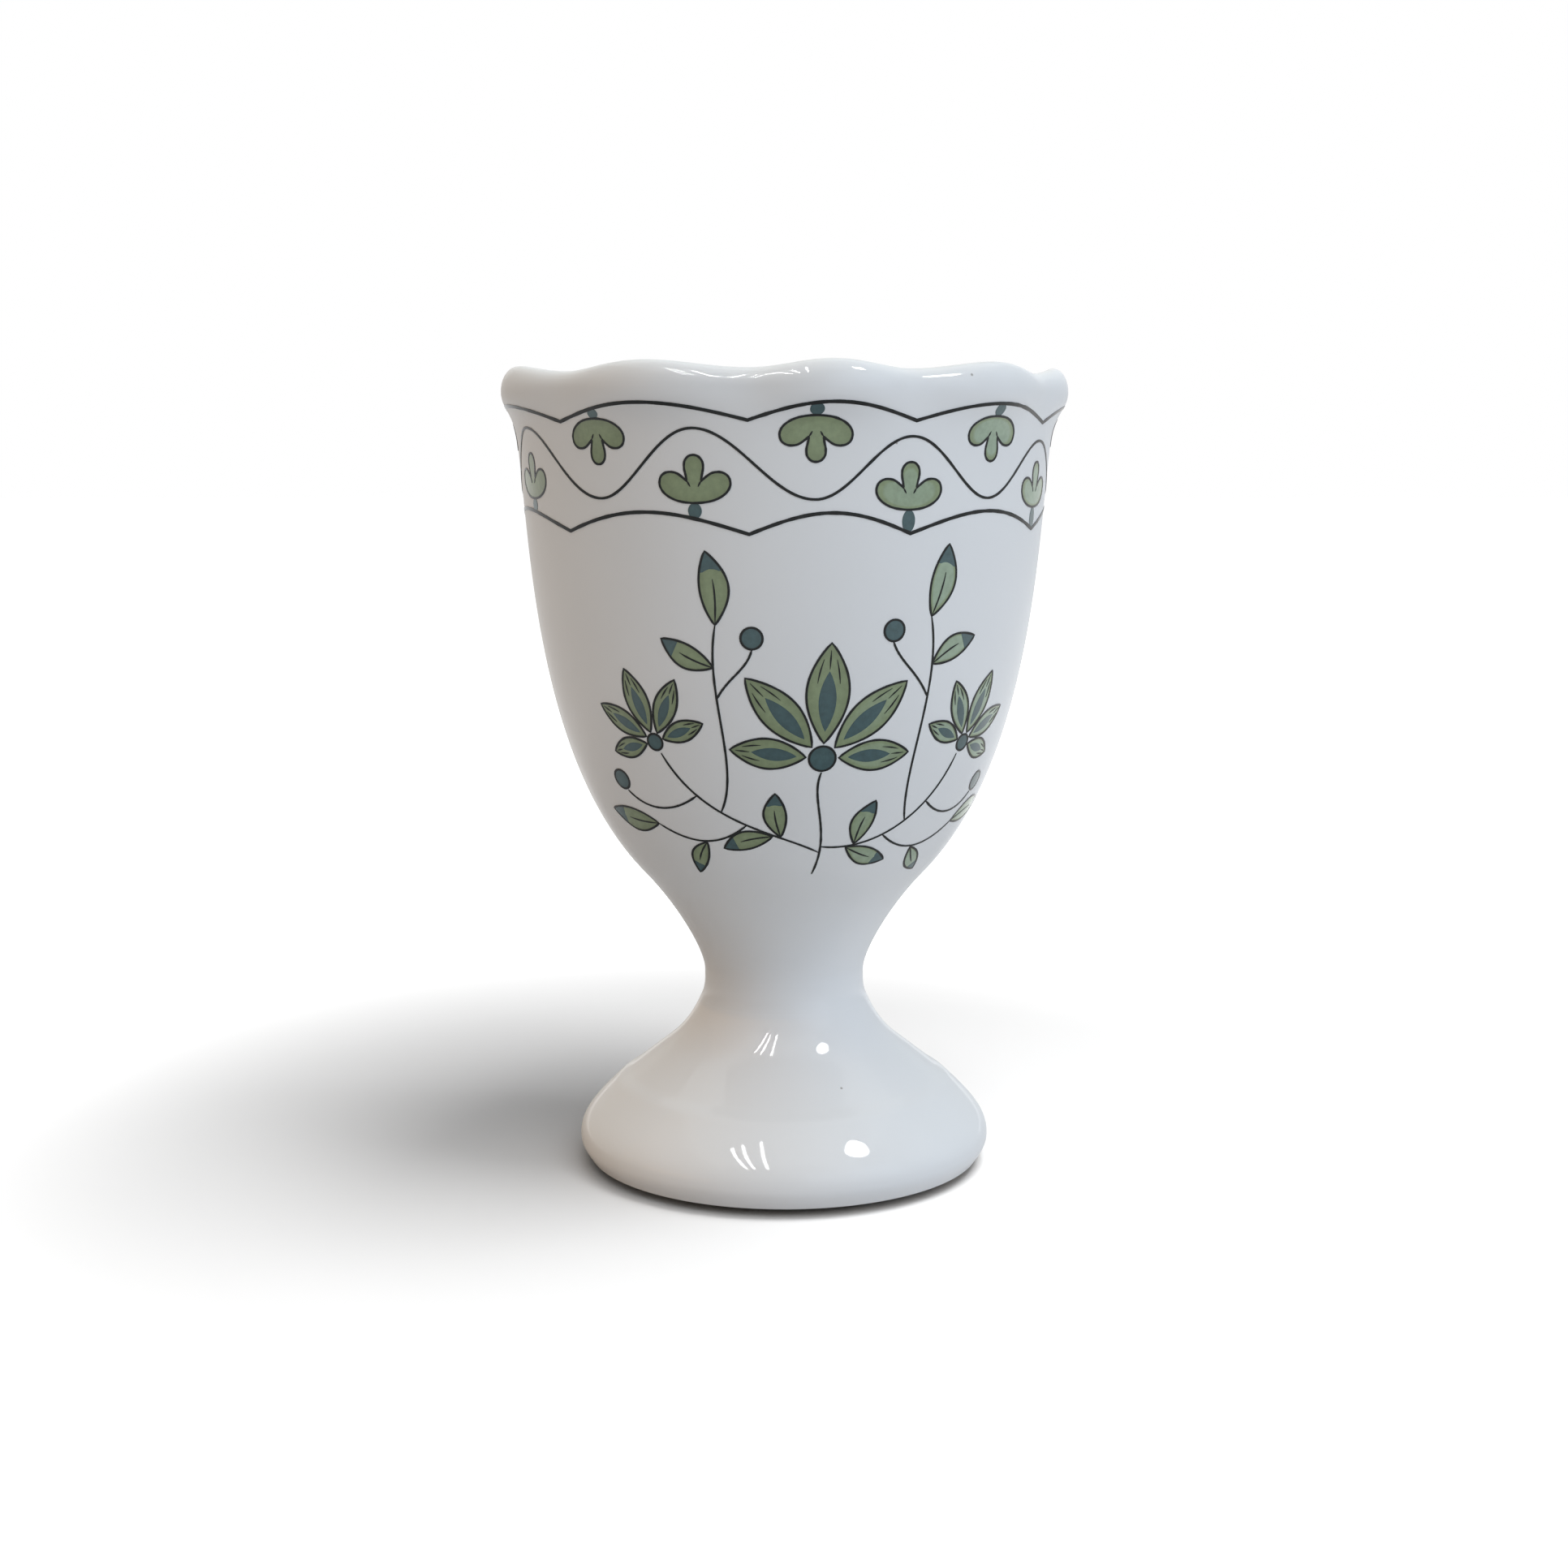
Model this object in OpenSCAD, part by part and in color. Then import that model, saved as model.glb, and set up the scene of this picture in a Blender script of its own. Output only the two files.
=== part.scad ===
// Footed porcelain egg cup with a lobed rim, a printed border and a printed spray.
// Lengths are in millimetres. +Z is up, the origin is the centre of the resting ring
// and the front of the cup faces -Y. Angles round the cup start at the front.

/* [Foot] */
// Radius of the foot at its widest
foot_r = 17.75; // [17:0.05:19]
// Height of the widest part of the foot
foot_edge_z = 2.4; // [2:0.1:3]
// Outer radius of the ring that the cup stands on
ring_r = 14.6; // [13.8:0.1:15.4]
// Width of the ring that the cup stands on
ring_w = 1.8; // [1.2:0.1:2.4]
// Height of the hollow under the foot
hollow_h = 9.2; // [8:0.1:9.8]
// Radius of the soft crease above the rounded edge of the foot
crease_r = 13.85; // [13.2:0.05:14.4]
// Height of that crease
crease_z = 7.5; // [7.1:0.1:7.9]
// Depth of that crease
crease_depth = 0.15; // [0.05:0.05:0.3]
// Radius where the straight slope of the foot begins
slope_r = 10.5; // [10:0.1:11]
// Height where that slope begins
slope_z = 10.15; // [9.8:0.05:10.5]

/* [Stem] */
// Radius of the stem at the joint between foot and bowl
neck_r = 7.3; // [7:0.05:7.8]
// Height of the top of the foot
joint_z = 14; // [13.6:0.1:14.4]
// Thickness of the slip that joins bowl and foot
slip_t = 0.4; // [0.2:0.1:0.6]
// How far the slip stays back from the face of the stem
slip_recess = 0.1; // [0.05:0.05:0.3]
// Radius of the waist, the thinnest part of the stem
waist_r = 6.86; // [6.5:0.02:7]
// Height of the waist
waist_z = 16.8; // [16.4:0.1:17.4]

/* [Bowl] */
// Radius where the hollow of the stem turns into the belly
turn_r = 12.13; // [11.6:0.01:12.6]
// Height of that turn
turn_z = 25.7; // [24.8:0.1:26.4]
// Radius of the wall just under the lip
brim_r = 22.27; // [21.8:0.01:22.6]
// Distance from the top of the rim down to the top of the wall, just under the lip
brim_drop = 6; // [5.6:0.1:6.6]
// Thickness of the wall
wall_t = 2.2; // [1.6:0.1:3]
// Height of the bottom of the cavity
floor_z = 24.6; // [23.6:0.1:25.4]

/* [Rim] */
// Height of the whole cup
cup_h = 68; // [67.4:0.1:69]
// How far the rim dips between two lobes
rim_dip = 0.65; // [0.2:0.05:1]
// How far the lip stands out from the top of the wall in the middle of a lobe
lip_proud = 1.4; // [1.1:0.05:1.9]
// How far it stands out in the notch between two lobes
notch_proud = 0.5; // [0.4:0.05:0.7]
// Distance from the top of the rim down to the widest part of the lip
lip_drop = 2; // [1.6:0.1:2.4]
// Thickness of the lip
lip_t = 2.6; // [2.2:0.1:3]

/* [Border] */
// Thickness of a printed layer
print_t = 0.06; // [0.04:0.01:0.1]
// Gap between the wall and a printed layer, and between two layers
print_gap = 0.02; // [0.01:0.01:0.04]
// Width of the two scalloped lines and of the outlines
line_w = 0.25; // [0.15:0.05:0.35]
// Width of the wavy line
wave_w = 0.2; // [0.1:0.05:0.3]
// Distance from the top of the rim down to the cusps of the upper scalloped line
upper_drop = 4.55; // [4.3:0.05:4.8]
// Rise of the upper scalloped line in the middle of a lobe
upper_rise = 1.35; // [1:0.05:1.6]
// Distance between the cusps of the two scalloped lines
band_h = 8.45; // [8.2:0.05:8.9]
// Rise of the lower scalloped line in the middle of a lobe
lower_rise = 1.6; // [1.2:0.1:1.8]
// Distance from the lower line's cusps up to the troughs of the wavy line
trough_gap = 2.6; // [2.4:0.1:2.9]
// Distance from the upper line's cusps down to the highest crest of the wavy line
crest_gap = 0.4; // [0.35:0.05:0.75]
// Width of a three-lobed leaf
trefoil_w = 5.6; // [5:0.1:6]
// Height of a three-lobed leaf
trefoil_h = 3.6; // [3.2:0.1:3.8]
// Mean distance from a three-lobed leaf to its scalloped line
bud_gap = 0.95; // [0.85:0.05:1.1]
// Width of the bud that joins a leaf to its line
bud_w = 1.1; // [0.8:0.1:1.3]

/* [Spray] */
// Width of the spray, measured on the wall
spray_w = 40; // [36:1:42]
// Distance from the highest leaf, if it stood upright, to the cusps of the lower scalloped line
spray_gap = 0.4; // [0.4:0.1:3]
// Height of the foot of the spray
spray_z = 27.6; // [27.2:0.2:28.4]
// Angle of the middle of the spray round the cup, in degrees
spray_angle = 8; // [-10:1:20]
// Width of a stem line
stem_w = 0.22; // [0.15:0.01:0.3]
// Length of the largest leaf
leaf_l = 6; // [5.4:0.1:6.4]
// Width of the largest leaf
leaf_w = 2.4; // [2:0.1:2.8]
// Length of the largest petal
petal_l = 8.2; // [7.4:0.1:8.6]
// Width of the largest petal
petal_w = 3.2; // [2.8:0.1:3.4]
// Radius of the largest flower's round base
calyx_r = 1.05; // [0.8:0.05:1.15]
// Radius of a berry
berry_r = 0.85; // [0.7:0.05:1]

/* [Hidden] */

porcelain = [0.93, 0.94, 0.95];
dry_slip = [0.86, 0.86, 0.85];
black_enamel = [0.15, 0.16, 0.16];
green_enamel = [0.55, 0.64, 0.46];
teal_enamel = [0.25, 0.38, 0.40];

// Round edges of the exact solids
smooth = 96;
// Share of a quarter circle's radius that makes a curve's handles follow it
quarter_share = 0.5523;
// Angles of the outer wall from the vertical, in degrees, where its curves meet
slope_angle = 53.5;
crease_angle = 47;
neck_angle = 25;
turn_angle = 43.4;
brim_angle = 7.4;
// Handles of the wall's curves, as shares of the distance between their ends
stem_handle_share = 0.17;
hollow_handle_share = 0.38;
belly_handle_share = 0.362;
brim_handle_share = 0.181;
foot_handle_share = 0.35;
crown_handle_share = 0.5;
// Handles of the flare under the lip, as shares of its height: the wall stays straight until it nears
// the lip
flare_share = 0.6;
lip_share = 0.35;

// Widths of the lobes round the rim, from the notch left of the front, as shares of their mean
lobe_shares = [1.09, 0.83, 1.02, 1.01, 0.97, 0.97, 0.97, 0.96, 1.18];
lobe_start_angle = -50.5;
// Widths of the half waves, from the first crest, as shares of their mean
wave_shares = [1.18, 0.98, 1.07, 0.87, 0.91, 0.91, 1, 1.02, 1, 1, 1.02, 1.02, 1, 1, 1.02, 1];
wave_start_angle = -66.5;
// Heights of the crests above the troughs, as shares of the highest
crest_shares = [1, 0.97, 0.86, 0.81, 0.88, 0.93, 0.97, 0.99];
// How much of a scalloped line's rise its leaves follow
follow_share = 0.5;

// Steps in each lobe of the rim and along the parts of its outline
lobe_steps = 8;
stem_steps = 3;
hollow_steps = 6;
wall_steps = 8;
flare_steps = 5;
lip_steps = 3;
floor_steps = 4;
// Steps along each curve of the foot's outline and along its hollow
foot_steps = 6;
crown_steps = 10;
// Steps along the printed lines, along each side of a blade and of a mark on it, and round an oval
scallop_steps = 8;
wave_steps = 6;
twig_steps = 8;
blade_steps = 5;
mark_steps = 3;
oval_steps = 8;

// Point at a share of the way along a cubic curve
function bez(a, b, c, d, t) =
    pow(1 - t, 3) * a + 3 * pow(1 - t, 2) * t * b + 3 * (1 - t) * t * t * c + pow(t, 3) * d;
// Points along a cubic curve, without the first
function bez_run(a, b, c, d, n) = [for (i = [1:n]) bez(a, b, c, d, i / n)];
// Step along a line that leans from the vertical
function aim(lean, dist) = [dist * sin(lean), dist * cos(lean)];
// Lean of a step from the vertical
function lean_of(step) = atan2(step[0], step[1]);
// Angles where runs of given shares begin, from start, once round
function edges(start, shares) = [for (i = 0, a = start; i <= len(shares);
    a = a + (i < len(shares) ? shares[i] : 0) * 360 / len(shares), i = i + 1) a];
// Number of the run that holds an angle, and the share of the way through it
function run_at(marks, a) =
    let (turned = marks[0] + (a - marks[0]) - 360 * floor((a - marks[0]) / 360),
        i = max([for (k = [0:len(marks) - 2]) if (turned >= marks[k]) k]))
    [i, (turned - marks[i]) / (marks[i + 1] - marks[i])];

lobe_edges = edges(lobe_start_angle, lobe_shares);
wave_edges = edges(wave_start_angle, wave_shares);

// Heights that are set from the top of the rim
brim_z = cup_h - brim_drop;
lip_z = cup_h - lip_drop;
upper_z = cup_h - upper_drop;
lower_z = upper_z - band_h;
trough_z = lower_z + trough_gap;
crest_z = upper_z - crest_gap;

// Outer wall of the bowl, from the joint up to the brim
bowl_z = joint_z + slip_t;
neck = [neck_r, bowl_z];
waist = [waist_r, waist_z];
turn = [turn_r, turn_z];
brim = [brim_r, brim_z];
stem_reach = norm(waist - neck);
hollow_reach = norm(turn - waist);
belly_reach = norm(brim - turn);
stem_curve = bez_run(neck, neck + aim(-neck_angle, stem_reach * hollow_handle_share),
    waist - aim(0, stem_reach * hollow_handle_share), waist, stem_steps);
hollow_curve = bez_run(waist, waist + aim(0, hollow_reach * stem_handle_share),
    turn - aim(turn_angle, hollow_reach * hollow_handle_share), turn, hollow_steps);
belly_curve = bez_run(turn, turn + aim(turn_angle, belly_reach * belly_handle_share),
    brim - aim(brim_angle, belly_reach * brim_handle_share), brim, wall_steps);
wall_curve = concat([neck], stem_curve, hollow_curve, belly_curve);

// Inner wall, set in from the belly by the wall's thickness, and the rounded floor
function set_in(p, lean) = p - wall_t * [cos(lean), -sin(lean)];
belly = concat([turn], belly_curve);
belly_leans = concat([turn_angle],
    [for (i = [1:len(belly) - 2]) lean_of(belly[i + 1] - belly[i - 1])], [brim_angle]);
inner_wall = [for (i = [len(belly) - 1:-1:0]) set_in(belly[i], belly_leans[i])];
inner_brim = inner_wall[0];
inner_turn = inner_wall[len(inner_wall) - 1];
floor_curve = bez_run(inner_turn, inner_turn - aim(turn_angle, inner_turn[0] * stem_handle_share),
    [inner_turn[0] * quarter_share, floor_z], [0, floor_z], floor_steps);

// How far out a lobe bulges at a share of its width: nothing in the notches and all in its middle
function bulge(u) = sin(180 * u);
function lip_out(u) = brim_r + notch_proud + (lip_proud - notch_proud) * bulge(u);
function rim_z(u) = cup_h - rim_dip * (1 + cos(360 * u)) / 2;
flare_reach = aim(brim_angle, (lip_z - brim_z) * flare_share);
lip_reach = aim(0, (lip_z - brim_z) * lip_share);
function flare_curve(u) = let (out = [lip_out(u), lip_z])
    bez_run(brim, brim + flare_reach, out - lip_reach, out, flare_steps);
function quarter(a, b, corner, n) =
    bez_run(a, a + (corner - a) * quarter_share, b + (corner - b) * quarter_share, b, n);
// The lip's section from the brim over the top and down to the inner brim
function lip_section(u) =
    let (out = [lip_out(u), lip_z], in = out - [lip_t, 0], top = [out[0] - lip_t / 2, rim_z(u)])
    concat(flare_curve(u),
        quarter(out, top, [out[0], top[1]], lip_steps),
        quarter(top, in, [in[0], top[1]], lip_steps),
        bez_run(in, in - lip_reach, inner_brim + flare_reach, inner_brim, lip_steps));
function bowl_section(u) = concat(wall_curve, lip_section(u),
    [for (i = [1:len(inner_wall) - 1]) inner_wall[i]], [for (i = [0:floor_steps - 2]) floor_curve[i]]);

// A point at an angle round the cup, at a radius and a height
function round_pt(a, r, z) = [r * sin(a), -r * cos(a), z];

// Radius of the outer wall at an angle and a height. Over the flare it follows the facets between two
// columns of points, each cut from a lower left to an upper right corner.
belly_table = [for (p = concat(hollow_curve, belly_curve)) [p[1], p[0]]];
flare_columns = [for (k = [0:lobe_steps]) concat([brim], flare_curve(k / lobe_steps))];
function facet_points(left, right, t) = [for (k = [0:flare_steps], up = [0, 1])
    if (k + up <= flare_steps) left[k] * (1 - t) + right[k + up] * t];
function flare_r(step, z) = let (k = min(floor(step), lobe_steps - 1))
    lookup(z, [for (p = facet_points(flare_columns[k], flare_columns[k + 1], step - k)) [p[1], p[0]]]);
function wall_r(a, z) = z <= brim_z ? lookup(z, belly_table) :
    flare_r(run_at(lobe_edges, a)[1] * lobe_steps, z);
// Cosine of the wall's lean at a height
function upright(z) = let (dr = wall_r(0, z + line_w) - wall_r(0, z - line_w)) cos(atan2(dr, 2 * line_w));
// The layers of print, from the wall outwards: green first, then teal, and the black lines over both
green_layer = 0;
teal_layer = 1;
black_layer = 2;
layer_rise = print_gap + print_t;
// A printed point on the inner or the outer face of a layer
function inner_pt(p, layer) = round_pt(p[0], wall_r(p[0], p[1]) + layer * layer_rise + print_gap, p[1]);
function outer_pt(p, layer) = round_pt(p[0], wall_r(p[0], p[1]) + (layer + 1) * layer_rise, p[1]);
// A flat step on the wall from a printed point, as a new printed point
function laid(p, step) = [p[0] + step[0] / wall_r(p[0], p[1]) * 180 / PI, p[1] + step[1] * upright(p[1])];
// The flat step between two printed points
function between(p, q) = let (mid = (p + q) / 2)
    [(q[0] - p[0]) * PI / 180 * wall_r(mid[0], mid[1]), (q[1] - p[1]) / upright(mid[1])];

// Side faces of a tube of four points to a station
function ribbon_sides(n, count) = [for (i = [0:n - 1], k = [0:3]) let (j = (i + 1) % count, m = (k + 1) % 4)
    [4 * i + k, 4 * i + m, 4 * j + m, 4 * j + k]];

// A black line of one width along printed points
module ribbon(path, w, closed = false) {
    count = len(path);
    stations = [for (i = [0:count - 1])
        let (before = closed ? path[(i + count - 1) % count] : path[max(i - 1, 0)],
            after = closed ? path[(i + 1) % count] : path[min(i + 1, count - 1)],
            near = closed && abs(after[0] - before[0]) > 180 ? [360 * sign(before[0] - after[0]), 0] : [0, 0],
            along = between(before, after + near),
            side = [-along[1], along[0]] / norm(along) * w / 2)
        [laid(path[i], side), laid(path[i], -side)]];
    points = [for (s = stations) each [inner_pt(s[0], black_layer), inner_pt(s[1], black_layer),
        outer_pt(s[1], black_layer), outer_pt(s[0], black_layer)]];
    ends = closed ? [] : [[3, 2, 1, 0], [for (k = [0:3]) 4 * (count - 1) + k]];
    polyhedron(points, concat(ribbon_sides(closed ? count : count - 1, count), ends));
}

// A printed patch on a layer: an outline of printed points round a middle. A large one also has
// a ring of points halfway out, so that it follows the wall.
module patch(middle, outline, layer, large) {
    n = len(outline);
    loops = large ? [[for (p = outline) (p + middle) / 2], outline] : [outline];
    spots = concat([middle], [for (loop = loops, p = loop) p]);
    inner = len(spots);
    rim = inner - n;
    faces = [for (i = [0:n - 1]) let (j = (i + 1) % n, a = 1 + i, b = 1 + j) each concat(
        [[0, b, a], [inner, inner + a, inner + b]],
        large ? [[a, b, b + n, a + n], [inner + a, inner + a + n, inner + b + n, inner + b]] : [],
        [[rim + i, rim + j, inner + rim + j, inner + rim + i]])];
    polyhedron(concat([for (p = spots) outer_pt(p, layer)], [for (p = spots) inner_pt(p, layer)]), faces);
}

// Height of a scalloped line at an angle
function scallop_z(cusp_z, rise, a) = cusp_z + rise * bulge(run_at(lobe_edges, a)[1]);
function scallop(cusp_z, rise) = [for (i = [0:len(lobe_shares) - 1], k = [0:scallop_steps - 1])
    let (a = lobe_edges[i] + (lobe_edges[i + 1] - lobe_edges[i]) * k / scallop_steps)
    [a, scallop_z(cusp_z, rise, a)]];
// The wavy line: smooth half waves between crests and troughs
function crest_at(i) = trough_z + (crest_z - trough_z) * crest_shares[(i % len(wave_shares)) / 2];
wave = [for (i = [0:len(wave_shares) - 1], k = [0:wave_steps - 1])
    let (u = k / wave_steps, falls = i % 2 == 0, high = crest_at(falls ? i : i + 1),
        up = (1 + cos(180 * (falls ? u : 1 - u))) / 2)
    [wave_edges[i] + (wave_edges[i + 1] - wave_edges[i]) * u, trough_z + (high - trough_z) * up]];

// Right half of a three-lobed leaf that grows upwards, in shares of half its width and its height
trefoil_shares = [[0.38, 0.03], [0.75, 0.13], [1, 0.38], [0.88, 0.54], [0.6, 0.59], [0.23, 0.46],
    [0.26, 0.64], [0.28, 0.82], [0.16, 0.96]];
trefoil_middle_share = 0.35;
trefoil_half = [for (s = trefoil_shares) [s[0] * trefoil_w / 2, s[1] * trefoil_h]];
trefoil_ring = concat([[0, 0]], trefoil_half, [[0, trefoil_h]],
    [for (i = [len(trefoil_half) - 1:-1:0]) [-trefoil_half[i][0], trefoil_half[i][1]]]);

// The leaves: printed base point, 1 for up or -1 for down, and the height of the line that they grow from.
// They stand under the crests on the lower line, and hang over the troughs from the upper one.
function leaf_on(a, cusp_z, rise, way) = let (line = scallop_z(cusp_z, rise, a))
    [[a, line * follow_share + (cusp_z + rise) * (1 - follow_share) + way * bud_gap], way, line];
trefoils = [for (i = [0:len(wave_shares) - 1]) i % 2 == 0 ?
    leaf_on(wave_edges[i], lower_z, lower_rise, 1) : leaf_on(wave_edges[i], upper_z, upper_rise, -1)];

// A leaf's ring and its middle, laid on the wall
function trefoil_at(t) = [for (p = trefoil_ring) laid(t[0], t[1] * p)];
function trefoil_mid(t) = laid(t[0], [0, t[1] * trefoil_middle_share * trefoil_h]);

// A pointed blade of a length and a width from its foot, leaning from the vertical
function blade(foot, lean, length, w, n) = [for (i = [0:2 * n - 1])
    let (u = i <= n ? i / n : (2 * n - i) / n, side = i <= n ? 1 : -1,
        x = side * w / 2 * sin(180 * u), y = length * u)
    laid(foot, [x * cos(lean) + y * sin(lean), y * cos(lean) - x * sin(lean)])];
function blade_mid(foot, lean, length) = laid(foot, aim(lean, length / 2));
// A round or oval ring about a middle
function oval(middle, rx, ry) = [for (i = [0:oval_steps - 1])
    laid(middle, [-rx * sin(360 * i / oval_steps), ry * cos(360 * i / oval_steps)])];
// Stems: four points of a curve each, in shares of half the spray's width and of its height
stem_shares = [
    [[0.02, 0], [0.1, 0.14], [-0.03, 0.26], [0.02, 0.355]],
    [[0.04, 0.08], [-0.2, 0.16], [-0.52, 0.18], [-0.66, 0.405]],
    [[0.05, 0.1], [0.25, 0.08], [0.58, 0.14], [0.68, 0.385]],
    [[-0.31, 0.175], [-0.44, 0.1], [-0.6, 0.09], [-0.78, 0.16]],
    [[0.366, 0.131], [0.5, 0.06], [0.68, 0.05], [0.86, 0.14]],
    [[-0.422, 0.217], [-0.3, 0.36], [-0.44, 0.6], [-0.38, 0.82]],
    [[0.473, 0.173], [0.36, 0.34], [0.5, 0.6], [0.42, 0.84]],
    [[-0.39, 0.587], [-0.34, 0.66], [-0.27, 0.68], [-0.25, 0.745]],
    [[0.443, 0.585], [0.38, 0.67], [0.3, 0.7], [0.27, 0.765]],
    [[-0.525, 0.27], [-0.66, 0.2], [-0.82, 0.2], [-0.91, 0.265]],
    [[0.568, 0.234], [0.7, 0.16], [0.86, 0.17], [0.93, 0.235]]];
// Leaves: place as the stems', lean in degrees, and size as a share of the largest
leaf_shares = [
    [-0.151, 0.137, -5, 0.7], [-0.19, 0.138, -108, 0.72], [0.219, 0.106, 14, 0.72], [0.18, 0.094, 112, 0.72],
    [-0.78, 0.16, -82, 0.9], [-0.526, 0.109, -152, 0.62], [0.86, 0.14, 78, 0.9], [0.596, 0.07, 138, 0.6],
    [-0.396, 0.687, -62, 0.78], [-0.38, 0.82, -6, 0.95], [0.446, 0.69, 64, 0.78], [0.42, 0.84, 12, 0.95]];
// Blooms: place as the stems', lean in degrees, and size as a share of the largest
bloom_shares = [[0.02, 0.4, 2, 1], [-0.68, 0.44, -18, 0.66], [0.7, 0.42, 20, 0.66]];
// Petals of a bloom: lean in degrees, and length and width as shares of the largest
petal_shares = [[0, 1, 1], [-43, 0.92, 0.9], [43, 0.92, 0.9], [-86, 0.72, 0.8], [86, 0.72, 0.8]];
// Berries: place as the stems'
berry_shares = [[-0.25, 0.78], [0.27, 0.8], [-0.93, 0.3], [0.95, 0.27]];

// A place in the spray, from shares of half its width and of its height. The height leaves the highest
// leaf its length and the gap below the border.
spray_h = (lower_z - spray_gap - leaf_l - spray_z) / max([for (s = leaf_shares) s[1]]);
spray_r = wall_r(0, spray_z + spray_h / 2);
function in_spray(s) = [spray_angle + s[0] * spray_w / 2 / spray_r * 180 / PI, spray_z + s[1] * spray_h];

// Where a petal starts, as a share of the radius of the round base
petal_start_share = 1.25;
// Teal marks on petals and leaves: start, length and width as shares of the blade
petal_mark_shares = [0.12, 0.6, 0.42];
leaf_mark_shares = [0.64, 0.3, 0.5];

// Blades of the leaves and petals: printed foot, lean, length, width and the shares of their mark
leaves = [for (s = leaf_shares) [in_spray(s), s[2], leaf_l * s[3], leaf_w * s[3], leaf_mark_shares]];
petals = [for (b = bloom_shares, p = petal_shares) let (lean = b[2] + p[0])
    [laid(in_spray(b), aim(lean, calyx_r * petal_start_share * b[3])), lean,
        petal_l * b[3] * p[1], petal_w * b[3] * p[2], petal_mark_shares]];

// The bowl: one turned wall whose lip is drawn out into lobes
module bowl() {
    phases = [for (i = [0:len(lobe_shares) - 1], k = [0:lobe_steps - 1])
        [lobe_edges[i] + (lobe_edges[i + 1] - lobe_edges[i]) * k / lobe_steps, k / lobe_steps]];
    rows = len(bowl_section(0));
    cols = len(phases);
    points = concat([for (f = phases, p = bowl_section(f[1])) round_pt(f[0], p[0], p[1])],
        [[0, 0, bowl_z], [0, 0, floor_z]]);
    under = cols * rows;
    sides = [for (i = [0:cols - 1], k = [0:rows - 2]) let (j = (i + 1) % cols) each [
        [i * rows + k, i * rows + k + 1, j * rows + k + 1], [i * rows + k, j * rows + k + 1, j * rows + k]]];
    caps = [for (i = [0:cols - 1]) let (j = (i + 1) % cols) each [
        [i * rows, j * rows, under], [j * rows + rows - 1, i * rows + rows - 1, under + 1]]];
    color(porcelain) polyhedron(points, concat(sides, caps));
}

// The foot: a flared, hollow base that ends in the lower half of the stem
module foot() {
    top = [neck_r, joint_z];
    slope = [slope_r, slope_z];
    crease = [crease_r, crease_z];
    edge = [foot_r, foot_edge_z];
    ring_out = [ring_r, 0];
    ring_in = [ring_r - ring_w, 0];
    crown = [0, hollow_h];
    shoulder = crease + crease_depth * [cos(crease_angle), sin(crease_angle)];
    neck_reach = norm(slope - top) * foot_handle_share;
    edge_reach = norm(edge - shoulder) * foot_handle_share;
    outline = concat([crown, [0, joint_z], top],
        bez_run(top, top - aim(-neck_angle, neck_reach), slope + aim(-slope_angle, neck_reach), slope,
            foot_steps),
        [crease, shoulder],
        bez_run(shoulder, shoulder - aim(-crease_angle, edge_reach), edge + aim(0, edge_reach), edge,
            foot_steps),
        quarter(edge, ring_out, [foot_r, 0], foot_steps),
        [ring_in],
        bez_run(ring_in, ring_in + aim(0, hollow_h * crown_handle_share),
            [ring_in[0] * quarter_share, hollow_h], crown, crown_steps));
    color(porcelain) rotate_extrude($fn = smooth) polygon(outline);
}

// The thin layer of dried slip between the foot and the bowl
module slip_joint() {
    color(dry_slip) translate([0, 0, joint_z]) cylinder(r = neck_r - slip_recess, h = slip_t, $fn = smooth);
}

// Black lines of the border: two scalloped lines, a wavy line and the outlines of the leaves
module border_outline() {
    color(black_enamel) {
        ribbon(scallop(upper_z, upper_rise), line_w, true);
        ribbon(scallop(lower_z, lower_rise), line_w, true);
        ribbon(wave, wave_w, true);
        for (t = trefoils) ribbon(trefoil_at(t), line_w, true);
    }
}

// Light green fills of the three-lobed leaves, out to the middle of their outlines
module border_leaves() {
    color(green_enamel) for (t = trefoils) patch(trefoil_mid(t), trefoil_at(t), green_layer, true);
}

// Teal buds that join each leaf to its scalloped line
module border_buds() {
    color(teal_enamel) for (t = trefoils) {
        middle = [t[0][0], (t[0][1] + t[2]) / 2];
        bud_h = abs(t[0][1] - t[2]);
        patch(middle, oval(middle, bud_w / 2, bud_h / 2), teal_layer, false);
    }
}

// Black lines of the spray: stems, and the outlines of leaves, petals, round bases and berries
module spray_outline() {
    color(black_enamel) {
        for (s = stem_shares) {
            c = [for (p = s) in_spray(p)];
            ribbon(concat([c[0]], bez_run(c[0], c[1], c[2], c[3], twig_steps)), stem_w);
        }
        for (b = concat(leaves, petals)) ribbon(blade(b[0], b[1], b[2], b[3], blade_steps), stem_w, true);
        for (b = bloom_shares) ribbon(oval(in_spray(b), calyx_r * b[3], calyx_r * b[3]), stem_w, true);
        for (s = berry_shares) ribbon(oval(in_spray(s), berry_r, berry_r), stem_w, true);
    }
}

// Light green fills of the leaves and petals
module spray_leaves() {
    color(green_enamel) for (b = concat(leaves, petals))
        patch(blade_mid(b[0], b[1], b[2]), blade(b[0], b[1], b[2], b[3], blade_steps), green_layer, true);
}

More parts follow.
